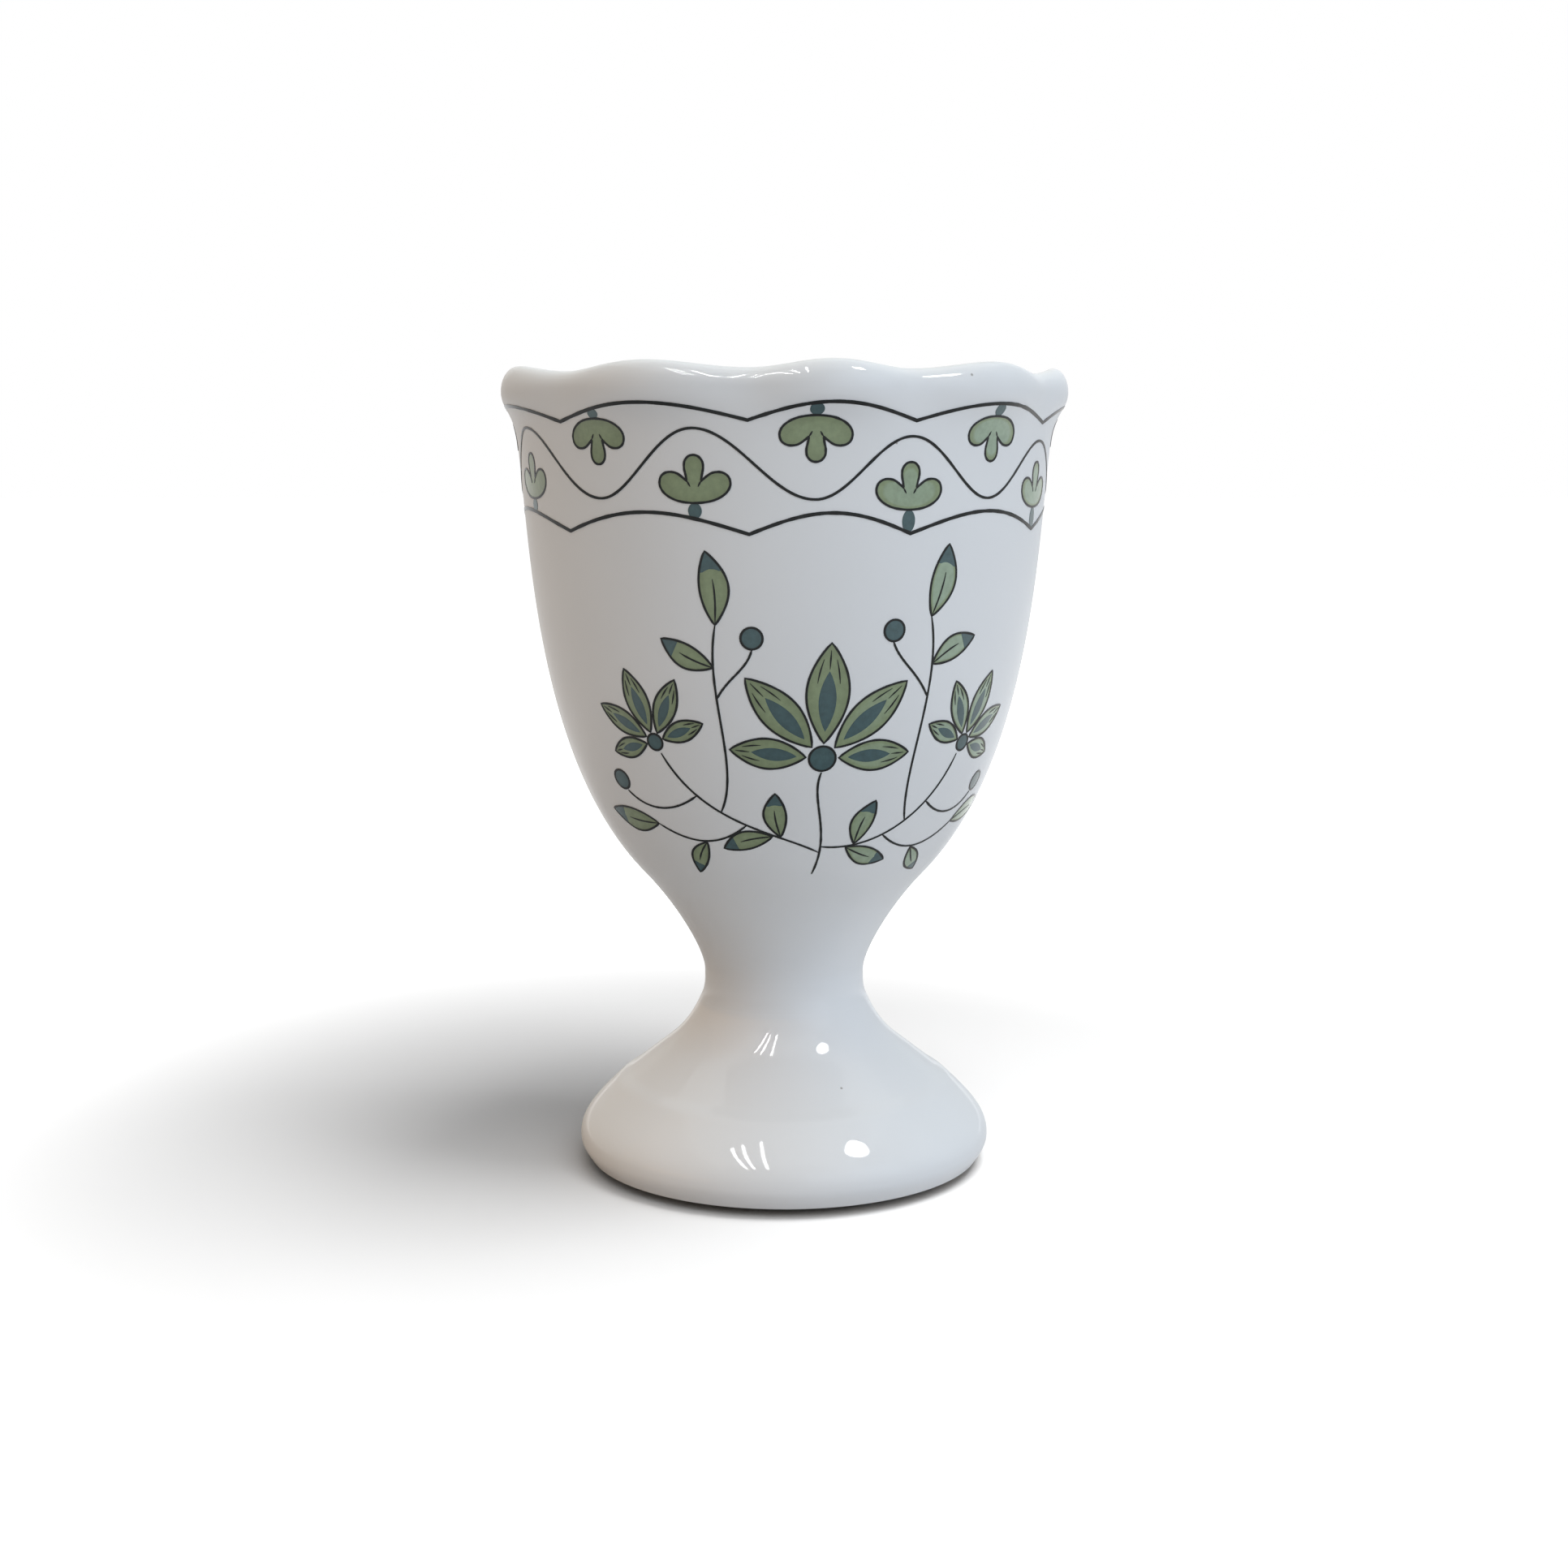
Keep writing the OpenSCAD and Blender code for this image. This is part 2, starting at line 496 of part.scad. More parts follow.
// Teal accents: marks on top of the green, round bases and berries
module spray_accents() {
    color(teal_enamel) {
        for (b = concat(leaves, petals)) {
            mark = b[4];
            foot = laid(b[0], aim(b[1], b[2] * mark[0]));
            patch(blade_mid(foot, b[1], b[2] * mark[1]),
                blade(foot, b[1], b[2] * mark[1], b[3] * mark[2], mark_steps), teal_layer, true);
        }
        for (b = bloom_shares) round_fill(in_spray(b), calyx_r * b[3]);
        for (s = berry_shares) round_fill(in_spray(s), berry_r);
    }
}
module round_fill(middle, r) {
    patch(middle, oval(middle, r, r), teal_layer, false);
}

bowl();
foot();
slip_joint();
border_outline();
border_leaves();
border_buds();
spray_outline();
spray_leaves();
spray_accents();
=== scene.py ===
"""Looks of a footed porcelain egg cup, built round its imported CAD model.

Lengths are in millimetres until a mesh is made, which turns them into metres. Those of the materials,
the floor, the lamps and the camera are in metres. +Z is up, the front of the cup faces -Y, and angles
round the cup are in degrees from the front towards +X.
"""

import bpy
import numpy as np
from mathutils import Matrix, Vector, noise


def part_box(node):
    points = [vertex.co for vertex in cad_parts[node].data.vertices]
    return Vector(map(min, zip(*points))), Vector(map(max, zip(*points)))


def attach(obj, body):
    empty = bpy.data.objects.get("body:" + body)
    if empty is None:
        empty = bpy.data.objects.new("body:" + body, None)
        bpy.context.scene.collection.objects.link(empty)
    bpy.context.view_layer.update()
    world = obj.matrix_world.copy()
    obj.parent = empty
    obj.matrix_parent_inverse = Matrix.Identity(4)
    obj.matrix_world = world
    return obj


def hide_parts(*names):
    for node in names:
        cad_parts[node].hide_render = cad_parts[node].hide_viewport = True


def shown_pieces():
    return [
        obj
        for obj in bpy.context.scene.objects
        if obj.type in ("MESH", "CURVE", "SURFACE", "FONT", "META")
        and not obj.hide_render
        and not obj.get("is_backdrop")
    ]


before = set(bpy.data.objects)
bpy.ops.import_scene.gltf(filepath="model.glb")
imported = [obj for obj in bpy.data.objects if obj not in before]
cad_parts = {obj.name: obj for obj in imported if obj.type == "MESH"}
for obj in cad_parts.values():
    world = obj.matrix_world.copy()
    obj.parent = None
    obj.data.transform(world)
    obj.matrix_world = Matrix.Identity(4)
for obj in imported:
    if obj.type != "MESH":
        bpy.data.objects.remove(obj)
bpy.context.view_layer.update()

MM = 0.001
BODY = "root"

# Heights and widths that come from the frame
CUP_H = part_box("bowl")[1].z / MM
BOWL_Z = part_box("bowl")[0].z / MM
JOINT_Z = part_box("foot")[1].z / MM
FOOT_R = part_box("foot")[1].x / MM

# Curves


def bez(a, b, c, d, steps):
    """Points along a cubic curve, both ends included."""
    t = np.linspace(0, 1, steps + 1)[:, None]
    a, b, c, d = (np.asarray(p, float) for p in (a, b, c, d))
    return (1 - t) ** 3 * a + 3 * (1 - t) ** 2 * t * b + 3 * (1 - t) * t**2 * c + t**3 * d


def aim(lean, dist):
    """A step along a line that leans from the vertical."""
    return dist * np.array([np.sin(np.radians(lean)), np.cos(np.radians(lean))])


# Handles of this share of its radius bend a cubic curve into a quarter of a circle
QUARTER = 0.5523


def quarter(a, b, corner, steps):
    """A quarter of an oval between two points."""
    a, b, corner = (np.asarray(p, float) for p in (a, b, corner))
    return bez(a, a + (corner - a) * QUARTER, b + (corner - b) * QUARTER, b, steps)


def chain(*runs):
    """Runs of points as one, without the points that two runs share."""
    return np.vstack([np.atleast_2d(runs[0])] + [np.atleast_2d(r)[1:] for r in runs[1:]])


# Walls

NECK_R = 7.3
BRIM_DROP, LIP_DROP = 6, 2
WAIST = np.array([6.86, 16.8])
TURN = np.array([12.13, 25.7])
BRIM = np.array([22.27, CUP_H - BRIM_DROP])
NECK_LEAN, TURN_LEAN, BRIM_LEAN = 25, 43.4, 7.4
WALL_T = 2.2
FLOOR_Z = 24.6
LIP_Z = CUP_H - LIP_DROP
LIP_T = 2.6
LIP_PROUD, NOTCH_PROUD = 1.4, 0.5
RIM_DIP = 0.65
NOTCH_SOFT = 0.5

# Reaches of the curves' handles, as shares of the way that each curve goes, and the curves' steps
STEM_SHARE = 0.38
HOLLOW_SHARES = 0.17, 0.38
BELLY_SHARES = 0.362, 0.181
FLOOR_SHARE = 0.17
FLARE_SHARE, LIP_SHARE = 0.6, 0.35
STEM_STEPS, HOLLOW_STEPS, BELLY_STEPS, FLOOR_STEPS = 10, 24, 60, 16
FLARE_STEPS, RIM_STEPS, LIP_STEPS = 18, 10, 12

# Widths of the lobes round the rim, from the notch left of the front, as shares of their mean
LOBE_SHARES = [1.09, 0.83, 1.02, 1.01, 0.97, 0.97, 0.97, 0.96, 1.18]
LOBE_START = -50.5
LOBES = len(LOBE_SHARES)
LOBE_EDGES = LOBE_START + np.concatenate([[0], np.cumsum(LOBE_SHARES)]) * 360 / LOBES
LOBE_COLUMNS = 32

# The seam's band goes on with the wall's lean, so that the glaze runs smoothly over it
SEAM_SHIFT = (BOWL_Z - JOINT_Z) / 2 * np.tan(np.radians(NECK_LEAN))
neck = np.array([NECK_R - SEAM_SHIFT, BOWL_Z])
stem_reach = np.linalg.norm(WAIST - neck) * STEM_SHARE
stem = bez(neck, neck + aim(-NECK_LEAN, stem_reach), WAIST - aim(0, stem_reach), WAIST, STEM_STEPS)
hollow_start, hollow_end = [np.linalg.norm(TURN - WAIST) * share for share in HOLLOW_SHARES]
hollow = bez(WAIST, WAIST + aim(0, hollow_start), TURN - aim(TURN_LEAN, hollow_end), TURN, HOLLOW_STEPS)
belly_start, belly_end = [np.linalg.norm(BRIM - TURN) * share for share in BELLY_SHARES]
belly = bez(TURN, TURN + aim(TURN_LEAN, belly_start), BRIM - aim(BRIM_LEAN, belly_end), BRIM, BELLY_STEPS)
outer_wall = chain(stem, hollow, belly)

belly_way = np.gradient(belly, axis=0)
belly_way /= np.linalg.norm(belly_way, axis=1)[:, None]
inner_wall = (belly + WALL_T * np.stack([-belly_way[:, 1], belly_way[:, 0]], 1))[::-1]
inner_turn = inner_wall[-1]
inner_floor = bez(inner_turn, inner_turn - aim(TURN_LEAN, inner_turn[0] * FLOOR_SHARE),
                  [inner_turn[0] * QUARTER, FLOOR_Z], [0, FLOOR_Z], FLOOR_STEPS)
flare_aim = aim(BRIM_LEAN, (LIP_Z - BRIM[1]) * FLARE_SHARE)
lip_aim = aim(0, (LIP_Z - BRIM[1]) * LIP_SHARE)


def bulge(share):
    """How far out a lobe stands at a share of its width: nothing in the notches and all in its middle."""
    return np.sin(np.pi * share)


def soft_bulge(share):
    """The same with rounded notches, as the glaze leaves them on the lip."""
    return (np.hypot(bulge(share), NOTCH_SOFT) - NOTCH_SOFT) / (np.hypot(1, NOTCH_SOFT) - NOTCH_SOFT)


def lip_out(share):
    """The outermost point of the lip's section."""
    return np.array([BRIM[0] + NOTCH_PROUD + (LIP_PROUD - NOTCH_PROUD) * soft_bulge(share), LIP_Z])


def flare(share, steps=FLARE_STEPS):
    """The wall's section from the brim to the lip."""
    out = lip_out(share)
    return bez(BRIM, BRIM + flare_aim, out - lip_aim, out, steps)


def lip(share):
    """The lip's section from the brim over the rim and down to the inner wall."""
    out = lip_out(share)
    back = out - [LIP_T, 0]
    top = np.array([out[0] - LIP_T / 2, CUP_H - RIM_DIP * (1 + np.cos(2 * np.pi * share)) / 2])
    inner_brim = inner_wall[0]
    return chain(flare(share), quarter(out, top, [out[0], top[1]], RIM_STEPS),
                 quarter(top, back, [back[0], top[1]], RIM_STEPS),
                 bez(back, back - lip_aim, inner_brim + flare_aim, inner_brim, LIP_STEPS))


def round_point(angle, r, z):
    """Points at an angle round the cup, a radius and a height."""
    a = np.radians(angle)
    return np.stack([r * np.sin(a), -r * np.cos(a), z * np.ones_like(a)], -1)


def lobe_share(angle):
    """The share of the way through its lobe at which an angle lies."""
    turned = (np.asarray(angle, float) - LOBE_START) % 360 + LOBE_START
    i = np.clip(np.searchsorted(LOBE_EDGES, turned, side="right") - 1, 0, LOBES - 1)
    return (turned - LOBE_EDGES[i]) / (LOBE_EDGES[i + 1] - LOBE_EDGES[i])


# Radii of the wall between the brim and the lip, by shares of a lobe's width and by height
TABLE_ROWS = 60
FLARE_ROWS = np.linspace(BRIM[1], LIP_Z, TABLE_ROWS)
FLARE_TABLE = np.array([np.interp(FLARE_ROWS, *flare(k / LOBE_COLUMNS, TABLE_ROWS).T[::-1])
                        for k in range(LOBE_COLUMNS + 1)])


def wall_r(angle, z):
    """Radius of the bowl's outer wall."""
    angle, z = np.broadcast_arrays(np.asarray(angle, float), np.asarray(z, float))
    low = np.interp(z, outer_wall[:, 1], outer_wall[:, 0])
    column = lobe_share(angle) * LOBE_COLUMNS
    row = np.clip((z - BRIM[1]) / (LIP_Z - BRIM[1]), 0, 1) * (TABLE_ROWS - 1)
    c, r = np.minimum(column.astype(int), LOBE_COLUMNS - 1), np.minimum(row.astype(int), TABLE_ROWS - 2)
    u, v = column - c, row - r
    high = ((1 - u) * (1 - v) * FLARE_TABLE[c, r] + u * (1 - v) * FLARE_TABLE[c + 1, r]
            + (1 - u) * v * FLARE_TABLE[c, r + 1] + u * v * FLARE_TABLE[c + 1, r + 1])
    return np.where(z <= BRIM[1], low, high)


# The wall's lean is measured over twice this height
LEAN_SPAN = 0.25


def upright(z):
    """Cosine of the wall's lean from the vertical at a height, on the front."""
    dr = wall_r(0, np.asarray(z) + LEAN_SPAN) - wall_r(0, np.asarray(z) - LEAN_SPAN)
    return 2 * LEAN_SPAN / np.hypot(dr, 2 * LEAN_SPAN)


def laid(spot, steps):
    """Places on the wall, each an angle and a height, reached by flat steps from a place."""
    steps = np.atleast_2d(steps)
    angle = spot[0] + np.degrees(steps[:, 0] / wall_r(spot[0], spot[1]))
    return np.stack([angle, spot[1] + steps[:, 1] * upright(spot[1])], 1)


# Meshes


def make_piece(name, points, faces, node, materials, flat=(), second=(), tones=None):
    """A mesh from points in millimetres, smooth but for the flat faces, which stands for a CAD node.
    The faces numbered in second take the second material."""
    mesh = bpy.data.meshes.new(name)
    mesh.from_pydata([tuple(p) for p in np.asarray(points) * MM], [], [tuple(f) for f in faces])
    smooth = np.ones(len(faces), bool)
    smooth[list(flat)] = False
    mesh.polygons.foreach_set("use_smooth", smooth)
    for m in materials:
        mesh.materials.append(m)
    if len(second):
        numbers = np.zeros(len(faces), np.int32)
        numbers[list(second)] = 1
        mesh.polygons.foreach_set("material_index", numbers)
    if tones is not None:
        mesh.attributes.new("tone", "FLOAT", "POINT").data.foreach_set("value", np.asarray(tones, float))
    mesh.update()
    # Sharp edges round the flat faces keep them out of the smooth faces' shading
    loop_edges = np.zeros(len(mesh.loops), np.int32)
    mesh.loops.foreach_get("edge_index", loop_edges)
    sharp = np.zeros(len(mesh.edges), bool)
    for i in flat:
        first = mesh.polygons[i].loop_start
        sharp[loop_edges[first:first + mesh.polygons[i].loop_total]] = True
    mesh.edges.foreach_set("use_edge_sharp", sharp)
    piece = bpy.data.objects.new(name, mesh)
    bpy.context.scene.collection.objects.link(piece)
    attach(piece, BODY)
    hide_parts(node)
    return piece


def grid_faces(columns, rows):
    """Quads of a grid that closes round its columns, with each column's points in one run."""
    return [(i * rows + k, (i + 1) % columns * rows + k, (i + 1) % columns * rows + k + 1, i * rows + k + 1)
            for i in range(columns) for k in range(rows - 1)]


def turned_form(sections, angles):
    """Points and faces of a closed form from one section for each angle. At both ends of the sections,
    fans from the axis close it."""
    columns, rows = len(angles), len(sections[0])
    points = [round_point(a, s[:, 0], s[:, 1]) for a, s in zip(angles, sections)]
    points = np.vstack(points + [[[0, 0, sections[0][0][1]]], [[0, 0, sections[0][-1][1]]]])
    first, last = columns * rows, columns * rows + 1
    faces = grid_faces(columns, rows)
    for i in range(columns):
        j = (i + 1) % columns
        faces += [(first, j * rows, i * rows), (last, i * rows + rows - 1, j * rows + rows - 1)]
    return points, faces


FLAT_WITHIN = 1e-6


def flat_faces(points, faces, z):
    """Numbers of the faces that lie flat at a height."""
    return [i for i, f in enumerate(faces) if all(abs(points[p][2] - z) < FLAT_WITHIN for p in f)]


# Materials

# Sockets of a mix node that mixes colours: the factor and the two colours, and the mixed colour
MIX_INPUTS, MIX_OUTPUT = (0, 6, 7), 2


class Nodes:
    """Short calls for building the node tree of a new material, or of a world."""

    def __init__(self, name, world=None):
        self.material = world or bpy.data.materials.new(name)
        self.material.use_nodes = True
        self.tree = self.material.node_tree
        self.shader = self.tree.nodes["Background" if world else "Principled BSDF"]

    def add(self, kind, **settings):
        node = self.tree.nodes.new(kind)
        for key, value in settings.items():
            setattr(node, key, value)
        return node

    def link(self, source, target):
        self.tree.links.new(source, target)

    def coords(self):
        """Places on the piece, in metres."""
        return self.add("ShaderNodeTexCoord").outputs["Object"]

    def noise(self, scale, detail=3.0, roughness=0.5):
        coords = self.coords()
        grain = self.add("ShaderNodeTexNoise")
        grain.inputs["Scale"].default_value = scale
        grain.inputs["Detail"].default_value = detail
        grain.inputs["Roughness"].default_value = roughness
        self.link(coords, grain.inputs["Vector"])
        return grain.outputs["Fac"]

    def ramp(self, source, values, colours):
        """Colours at values of a source."""
        ramp = self.add("ShaderNodeValToRGB")
        self.link(source, ramp.inputs["Fac"])
        elements = ramp.color_ramp.elements
        while len(elements) < len(values):
            elements.new(values[1])
        for element, value, colour in zip(elements, values, colours):
            element.position = value
            element.color = (*colour, 1)
        return ramp.outputs["Color"]

    def mix(self, a, b, factor, blend="MIX"):
        """Two colours mixed. Each is a socket or a colour, and the factor a socket or a number."""
        mix = self.add("ShaderNodeMix", data_type="RGBA", blend_type=blend)
        for value, number in zip((factor, a, b), MIX_INPUTS):
            socket = mix.inputs[number]
            if isinstance(value, bpy.types.NodeSocket):
                self.link(value, socket)
            else:
                socket.default_value = (*value, 1) if isinstance(value, tuple) else value
        return mix.outputs[MIX_OUTPUT]

    def bump(self, height, distance):
        bump = self.add("ShaderNodeBump")
        bump.inputs["Distance"].default_value = distance
        self.link(height, bump.inputs["Height"])
        self.link(bump.outputs["Normal"], self.shader.inputs["Normal"])

    def seen(self):
        """1 for camera, mirror and glass rays, and 0 for the rays that light things."""
        paths = self.add("ShaderNodeLightPath")
        rays = [paths.outputs[f"Is {kind} Ray"] for kind in ("Camera", "Glossy", "Transmission")]
        for ray in rays[1:]:
            most = self.add("ShaderNodeMath", operation="MAXIMUM")
            self.link(rays[0], most.inputs[0])
            self.link(ray, most.inputs[1])
            rays[0] = most.outputs["Value"]
        return rays[0]

    def finish(self, **values):
        for key, value in values.items():
            self.shader.inputs[key.replace("_", " ")].default_value = value
        return self.material


# The glaze: its two whites, its pinholes, and the scales of its drift, its pinholes and its waves
GLAZE_WHITES = [(0.835, 0.842, 0.848), (0.862, 0.868, 0.873)]
PINHOLE = (0.45, 0.43, 0.41)
DRIFT_SCALE, PINHOLE_SCALE, WAVE_SCALE = 55, 150, 300
# Distances from a pinhole's middle at which it is whole and gone, as shares of the usual gap between two
PINHOLE_SHARES = 0.012, 0.02
WAVE_H = 0.000003
FULL, NONE = (1, 1, 1), (0, 0, 0)
# Values of a noise between which one shade runs into the other, for a drift and for a grain
DRIFT_VALUES, GRAIN_VALUES = (0.35, 0.65), (0.3, 0.7)


def glazed_porcelain():
    """White porcelain under a clear gloss glaze, with a few pinholes and a faint drift in its white."""
    n = Nodes("glazed_porcelain")
    white = n.ramp(n.noise(DRIFT_SCALE, detail=2), DRIFT_VALUES, GLAZE_WHITES)
    cells = n.add("ShaderNodeTexVoronoi")
    cells.inputs["Scale"].default_value = PINHOLE_SCALE
    n.link(n.coords(), cells.inputs["Vector"])
    holes = n.ramp(cells.outputs["Distance"], PINHOLE_SHARES, [FULL, NONE])
    n.link(n.mix(white, PINHOLE, holes), n.shader.inputs["Base Color"])
    n.bump(n.noise(WAVE_SCALE, detail=2), WAVE_H)
    return n.finish(Roughness=0.4, Specular_IOR_Level=0.0, Coat_Weight=0.35, Coat_Roughness=0.035)


# Both greys are far darker than bare bisque: a little is grey from use, the rest is painted shade for the gap
# under the foot's edge
BISQUE_AND_SHADE_GREYS = [(0.3, 0.28, 0.25), (0.4, 0.38, 0.34)]
STAIN_SCALE, PORE_SCALE = 900, 2600
PORE_H = 0.00003


def unglazed_shaded_porcelain():
    """The unglazed underside of the foot's edge with the ring that the cup stands on, a little greyed by use
    and darkened much more as painted shade for the gap above the table.
    """
    n = Nodes("unglazed_shaded_porcelain")
    grey = n.ramp(n.noise(STAIN_SCALE, detail=4, roughness=0.65), GRAIN_VALUES, BISQUE_AND_SHADE_GREYS)
    n.link(grey, n.shader.inputs["Base Color"])
    n.bump(n.noise(PORE_SCALE), PORE_H)
    return n.finish(Roughness=0.85, Specular_IOR_Level=0.3)


GRAIN_SCALE = 1900
# Tones at which a print shows a painted sheen's paler colour, its middle's colour, from one to the next,
# and its edge's. A patch has half a tone in its middle and a whole one at its edge, and less inside where
# the painted sheen lies on it
TONES = 0, 0.5, 0.725, 0.975


def enamel(name, middle, edge, mottle, specular=0.3, painted_sheen=None):
    """A fired print: one colour in the middle of a patch and another at its edge, a little uneven. Where
    a painted sheen lies on a patch's middle, it shows a paler colour, which stands in for a reflection."""
    n = Nodes(name)
    tone = n.add("ShaderNodeAttribute", attribute_name="tone", attribute_type="GEOMETRY")
    base = n.ramp(tone.outputs["Fac"], TONES, [painted_sheen or middle, middle, middle, edge])
    grain = n.ramp(n.noise(GRAIN_SCALE, detail=4, roughness=0.6), GRAIN_VALUES,
                   [(1 - mottle,) * 3, (1 + mottle,) * 3])
    n.link(n.mix(base, grain, factor=1.0, blend="MULTIPLY"), n.shader.inputs["Base Color"])
    n.bump(n.noise(WAVE_SCALE, detail=2), WAVE_H)
    return n.finish(Roughness=0.2, Specular_IOR_Level=specular)


# The paler, cooler third green is a painted sheen, which stands in for the glaze's reflection of the bright
# room on the right
GREEN, GREEN_EDGE, GREEN_PAINTED_SHEEN = (0.235, 0.295, 0.165), (0.2, 0.25, 0.135), (0.31, 0.4, 0.29)
TEAL, TEAL_EDGE = (0.042, 0.092, 0.1), (0.034, 0.078, 0.085)
BLACK, BLACK_EDGE = (0.018, 0.02, 0.02), (0.022, 0.024, 0.024)

porcelain = glazed_porcelain()
bisque_and_shade = unglazed_shaded_porcelain()
green = enamel("green_enamel", GREEN, GREEN_EDGE, mottle=0.1, painted_sheen=GREEN_PAINTED_SHEEN)
teal = enamel("teal_enamel", TEAL, TEAL_EDGE, mottle=0.15)
black = enamel("black_enamel", BLACK, BLACK_EDGE, mottle=0.2, specular=0.1)

# Bowl

bowl_angles, bowl_sections = [], []
for i in range(LOBES):
    for k in range(LOBE_COLUMNS):
        share = k / LOBE_COLUMNS
        bowl_angles.append(LOBE_EDGES[i] + (LOBE_EDGES[i + 1] - LOBE_EDGES[i]) * share)
        bowl_sections.append(chain(outer_wall, lip(share), inner_wall, inner_floor[:-1]))
points, faces = turned_form(bowl_sections, bowl_angles)
make_piece("porcelain_bowl", points, faces, "bowl", [porcelain],
           flat_faces(points, faces, BOWL_Z))

# Foot and the seam above it

FOOT_EDGE_Z = 2.4
RING_R, RING_W = 14.6, 1.8
CROWN_Z = 9.2
SLOPE = np.array([10.5, 10.15])
CREASE = np.array([13.85, 7.5])
SLOPE_LEAN, CREASE_LEAN = 53.5, 47
CREASE_DEPTH = 0.15
# The low corner that the edge rolls in to, the lean of the roll there, and how far back it is rounded
ROLL = np.array([17.0, 0.79])
ROLL_LEAN, ROLL_SOFT = 31, 0.12
# The underside of the edge is unglazed, and darkened with painted shade, up to this height
UNGLAZED_SHADED_Z = 0.72
FOOT_COLUMNS = 192

# Reaches of the curves' handles, as shares of the way that each curve goes, and the curves' steps
NECK_SHARE = 0.35
SHOULDER_SHARE, EDGE_SHARE = 0.7, 0.2
ROLL_SHARES = 0.4, 0.3
CROWN_SHARE = 0.5
# How far up the slope the crease begins, where its handles end, and how far in the low corner's round goes
CREASE_SHARE, CREASE_HANDLE_SHARES = 0.22, (0.08, 0.5)
CORNER_SHARE = 0.09
SLOPE_STEPS, EDGE_STEPS, CREASE_STEPS = 24, 36, 12
ROLL_STEPS, CORNER_STEPS, UNDER_STEPS, CROWN_STEPS, SEAM_STEPS = 12, 6, 8, 28, 4

top = np.array([NECK_R + SEAM_SHIFT, JOINT_Z])
edge = np.array([FOOT_R, FOOT_EDGE_Z])
ring_out, ring_in = np.array([RING_R, 0]), np.array([RING_R - RING_W, 0])
across = np.array([np.cos(np.radians(CREASE_LEAN)), np.sin(np.radians(CREASE_LEAN))])
shoulder = CREASE + CREASE_DEPTH * across
neck_reach = np.linalg.norm(SLOPE - top) * NECK_SHARE
edge_reach = np.linalg.norm(edge - shoulder)
slope_curve = bez(top, top - aim(-NECK_LEAN, neck_reach), SLOPE + aim(-SLOPE_LEAN, neck_reach), SLOPE,
                  SLOPE_STEPS)
edge_curve = bez(shoulder, shoulder - aim(-CREASE_LEAN, edge_reach * SHOULDER_SHARE),
                 edge + aim(0, edge_reach * EDGE_SHARE), edge, EDGE_STEPS)
# The crease is a soft step that takes the place of the edge curve's first two steps. The slope runs straight
# on down to it, so its first point can be left out like a shared one
crease_curve = bez(CREASE + (SLOPE - CREASE) * CREASE_SHARE,
                   CREASE + (SLOPE - CREASE) * CREASE_HANDLE_SHARES[0],
                   shoulder + (edge_curve[1] - shoulder) * CREASE_HANDLE_SHARES[1], edge_curve[2],
                   CREASE_STEPS)
# The edge rolls in to a low corner and turns under there, which leaves a dark gap above the table
roll_start, roll_end = ROLL + aim(ROLL_LEAN, ROLL_SOFT), ROLL + (ring_out - ROLL) * CORNER_SHARE
roll_out, roll_in = [(edge[1] - roll_start[1]) * share for share in ROLL_SHARES]
roll_curve = bez(edge, edge - aim(0, roll_out), roll_start + aim(ROLL_LEAN, roll_in), roll_start, ROLL_STEPS)
corner_curve = bez(roll_start, ROLL, ROLL, roll_end, CORNER_STEPS)
underside = np.linspace(roll_end, ring_out, UNDER_STEPS + 1)
crown_curve = bez(ring_in, ring_in + aim(0, CROWN_Z * CROWN_SHARE), [ring_in[0] * QUARTER, CROWN_Z],
                  [0, CROWN_Z], CROWN_STEPS)
foot_section = chain(slope_curve, crease_curve, edge_curve[2:], roll_curve, corner_curve, underside,
                     np.stack([ring_out, ring_in]), crown_curve[:-1])
foot_angles = np.arange(FOOT_COLUMNS) * 360 / FOOT_COLUMNS
points, faces = turned_form([foot_section] * FOOT_COLUMNS, foot_angles)
# These faces take the dark unglazed material, which also paints the shade of the gap above the table
unglazed_shaded = [i for i, f in enumerate(faces) if max(points[p][2] for p in f) < UNGLAZED_SHADED_Z]
# The section runs downwards, so its faces are turned round
foot_piece = make_piece("porcelain_foot", points, [f[::-1] for f in faces], "foot",
                        [porcelain, bisque_and_shade], flat_faces(points, faces, JOINT_Z), unglazed_shaded)

points, faces = turned_form([np.linspace(top, neck, SEAM_STEPS + 1)] * FOOT_COLUMNS, foot_angles)
caps = flat_faces(points, faces, JOINT_Z) + flat_faces(points, faces, BOWL_Z)
make_piece("joint_seam", points, faces, "slip_joint", [porcelain], caps)

# Printed layers

# How far outside the wall each layer's outer face lies, and how far inside it their inner faces
GREEN_LIFT, TEAL_LIFT, BLACK_LIFT = 0.02, 0.03, 0.04
SINK = 0.03
# How much a painted sheen, which stands in for a reflection, pales the print's middles at angles round
# the cup: it is palest on the right
PAINTED_SHEEN_ANGLES, PAINTED_SHEEN_SHARES = [10, 30, 70, 110], [0, 1, 1, 0]
# A line's width wavers by a share of itself, over steps along a row of a noise, which its seed numbers. An
# open line narrows over its last points
WAVER_SHARE, WAVER_STEP = 0.22, 0.35
TAPER_POINTS = 3


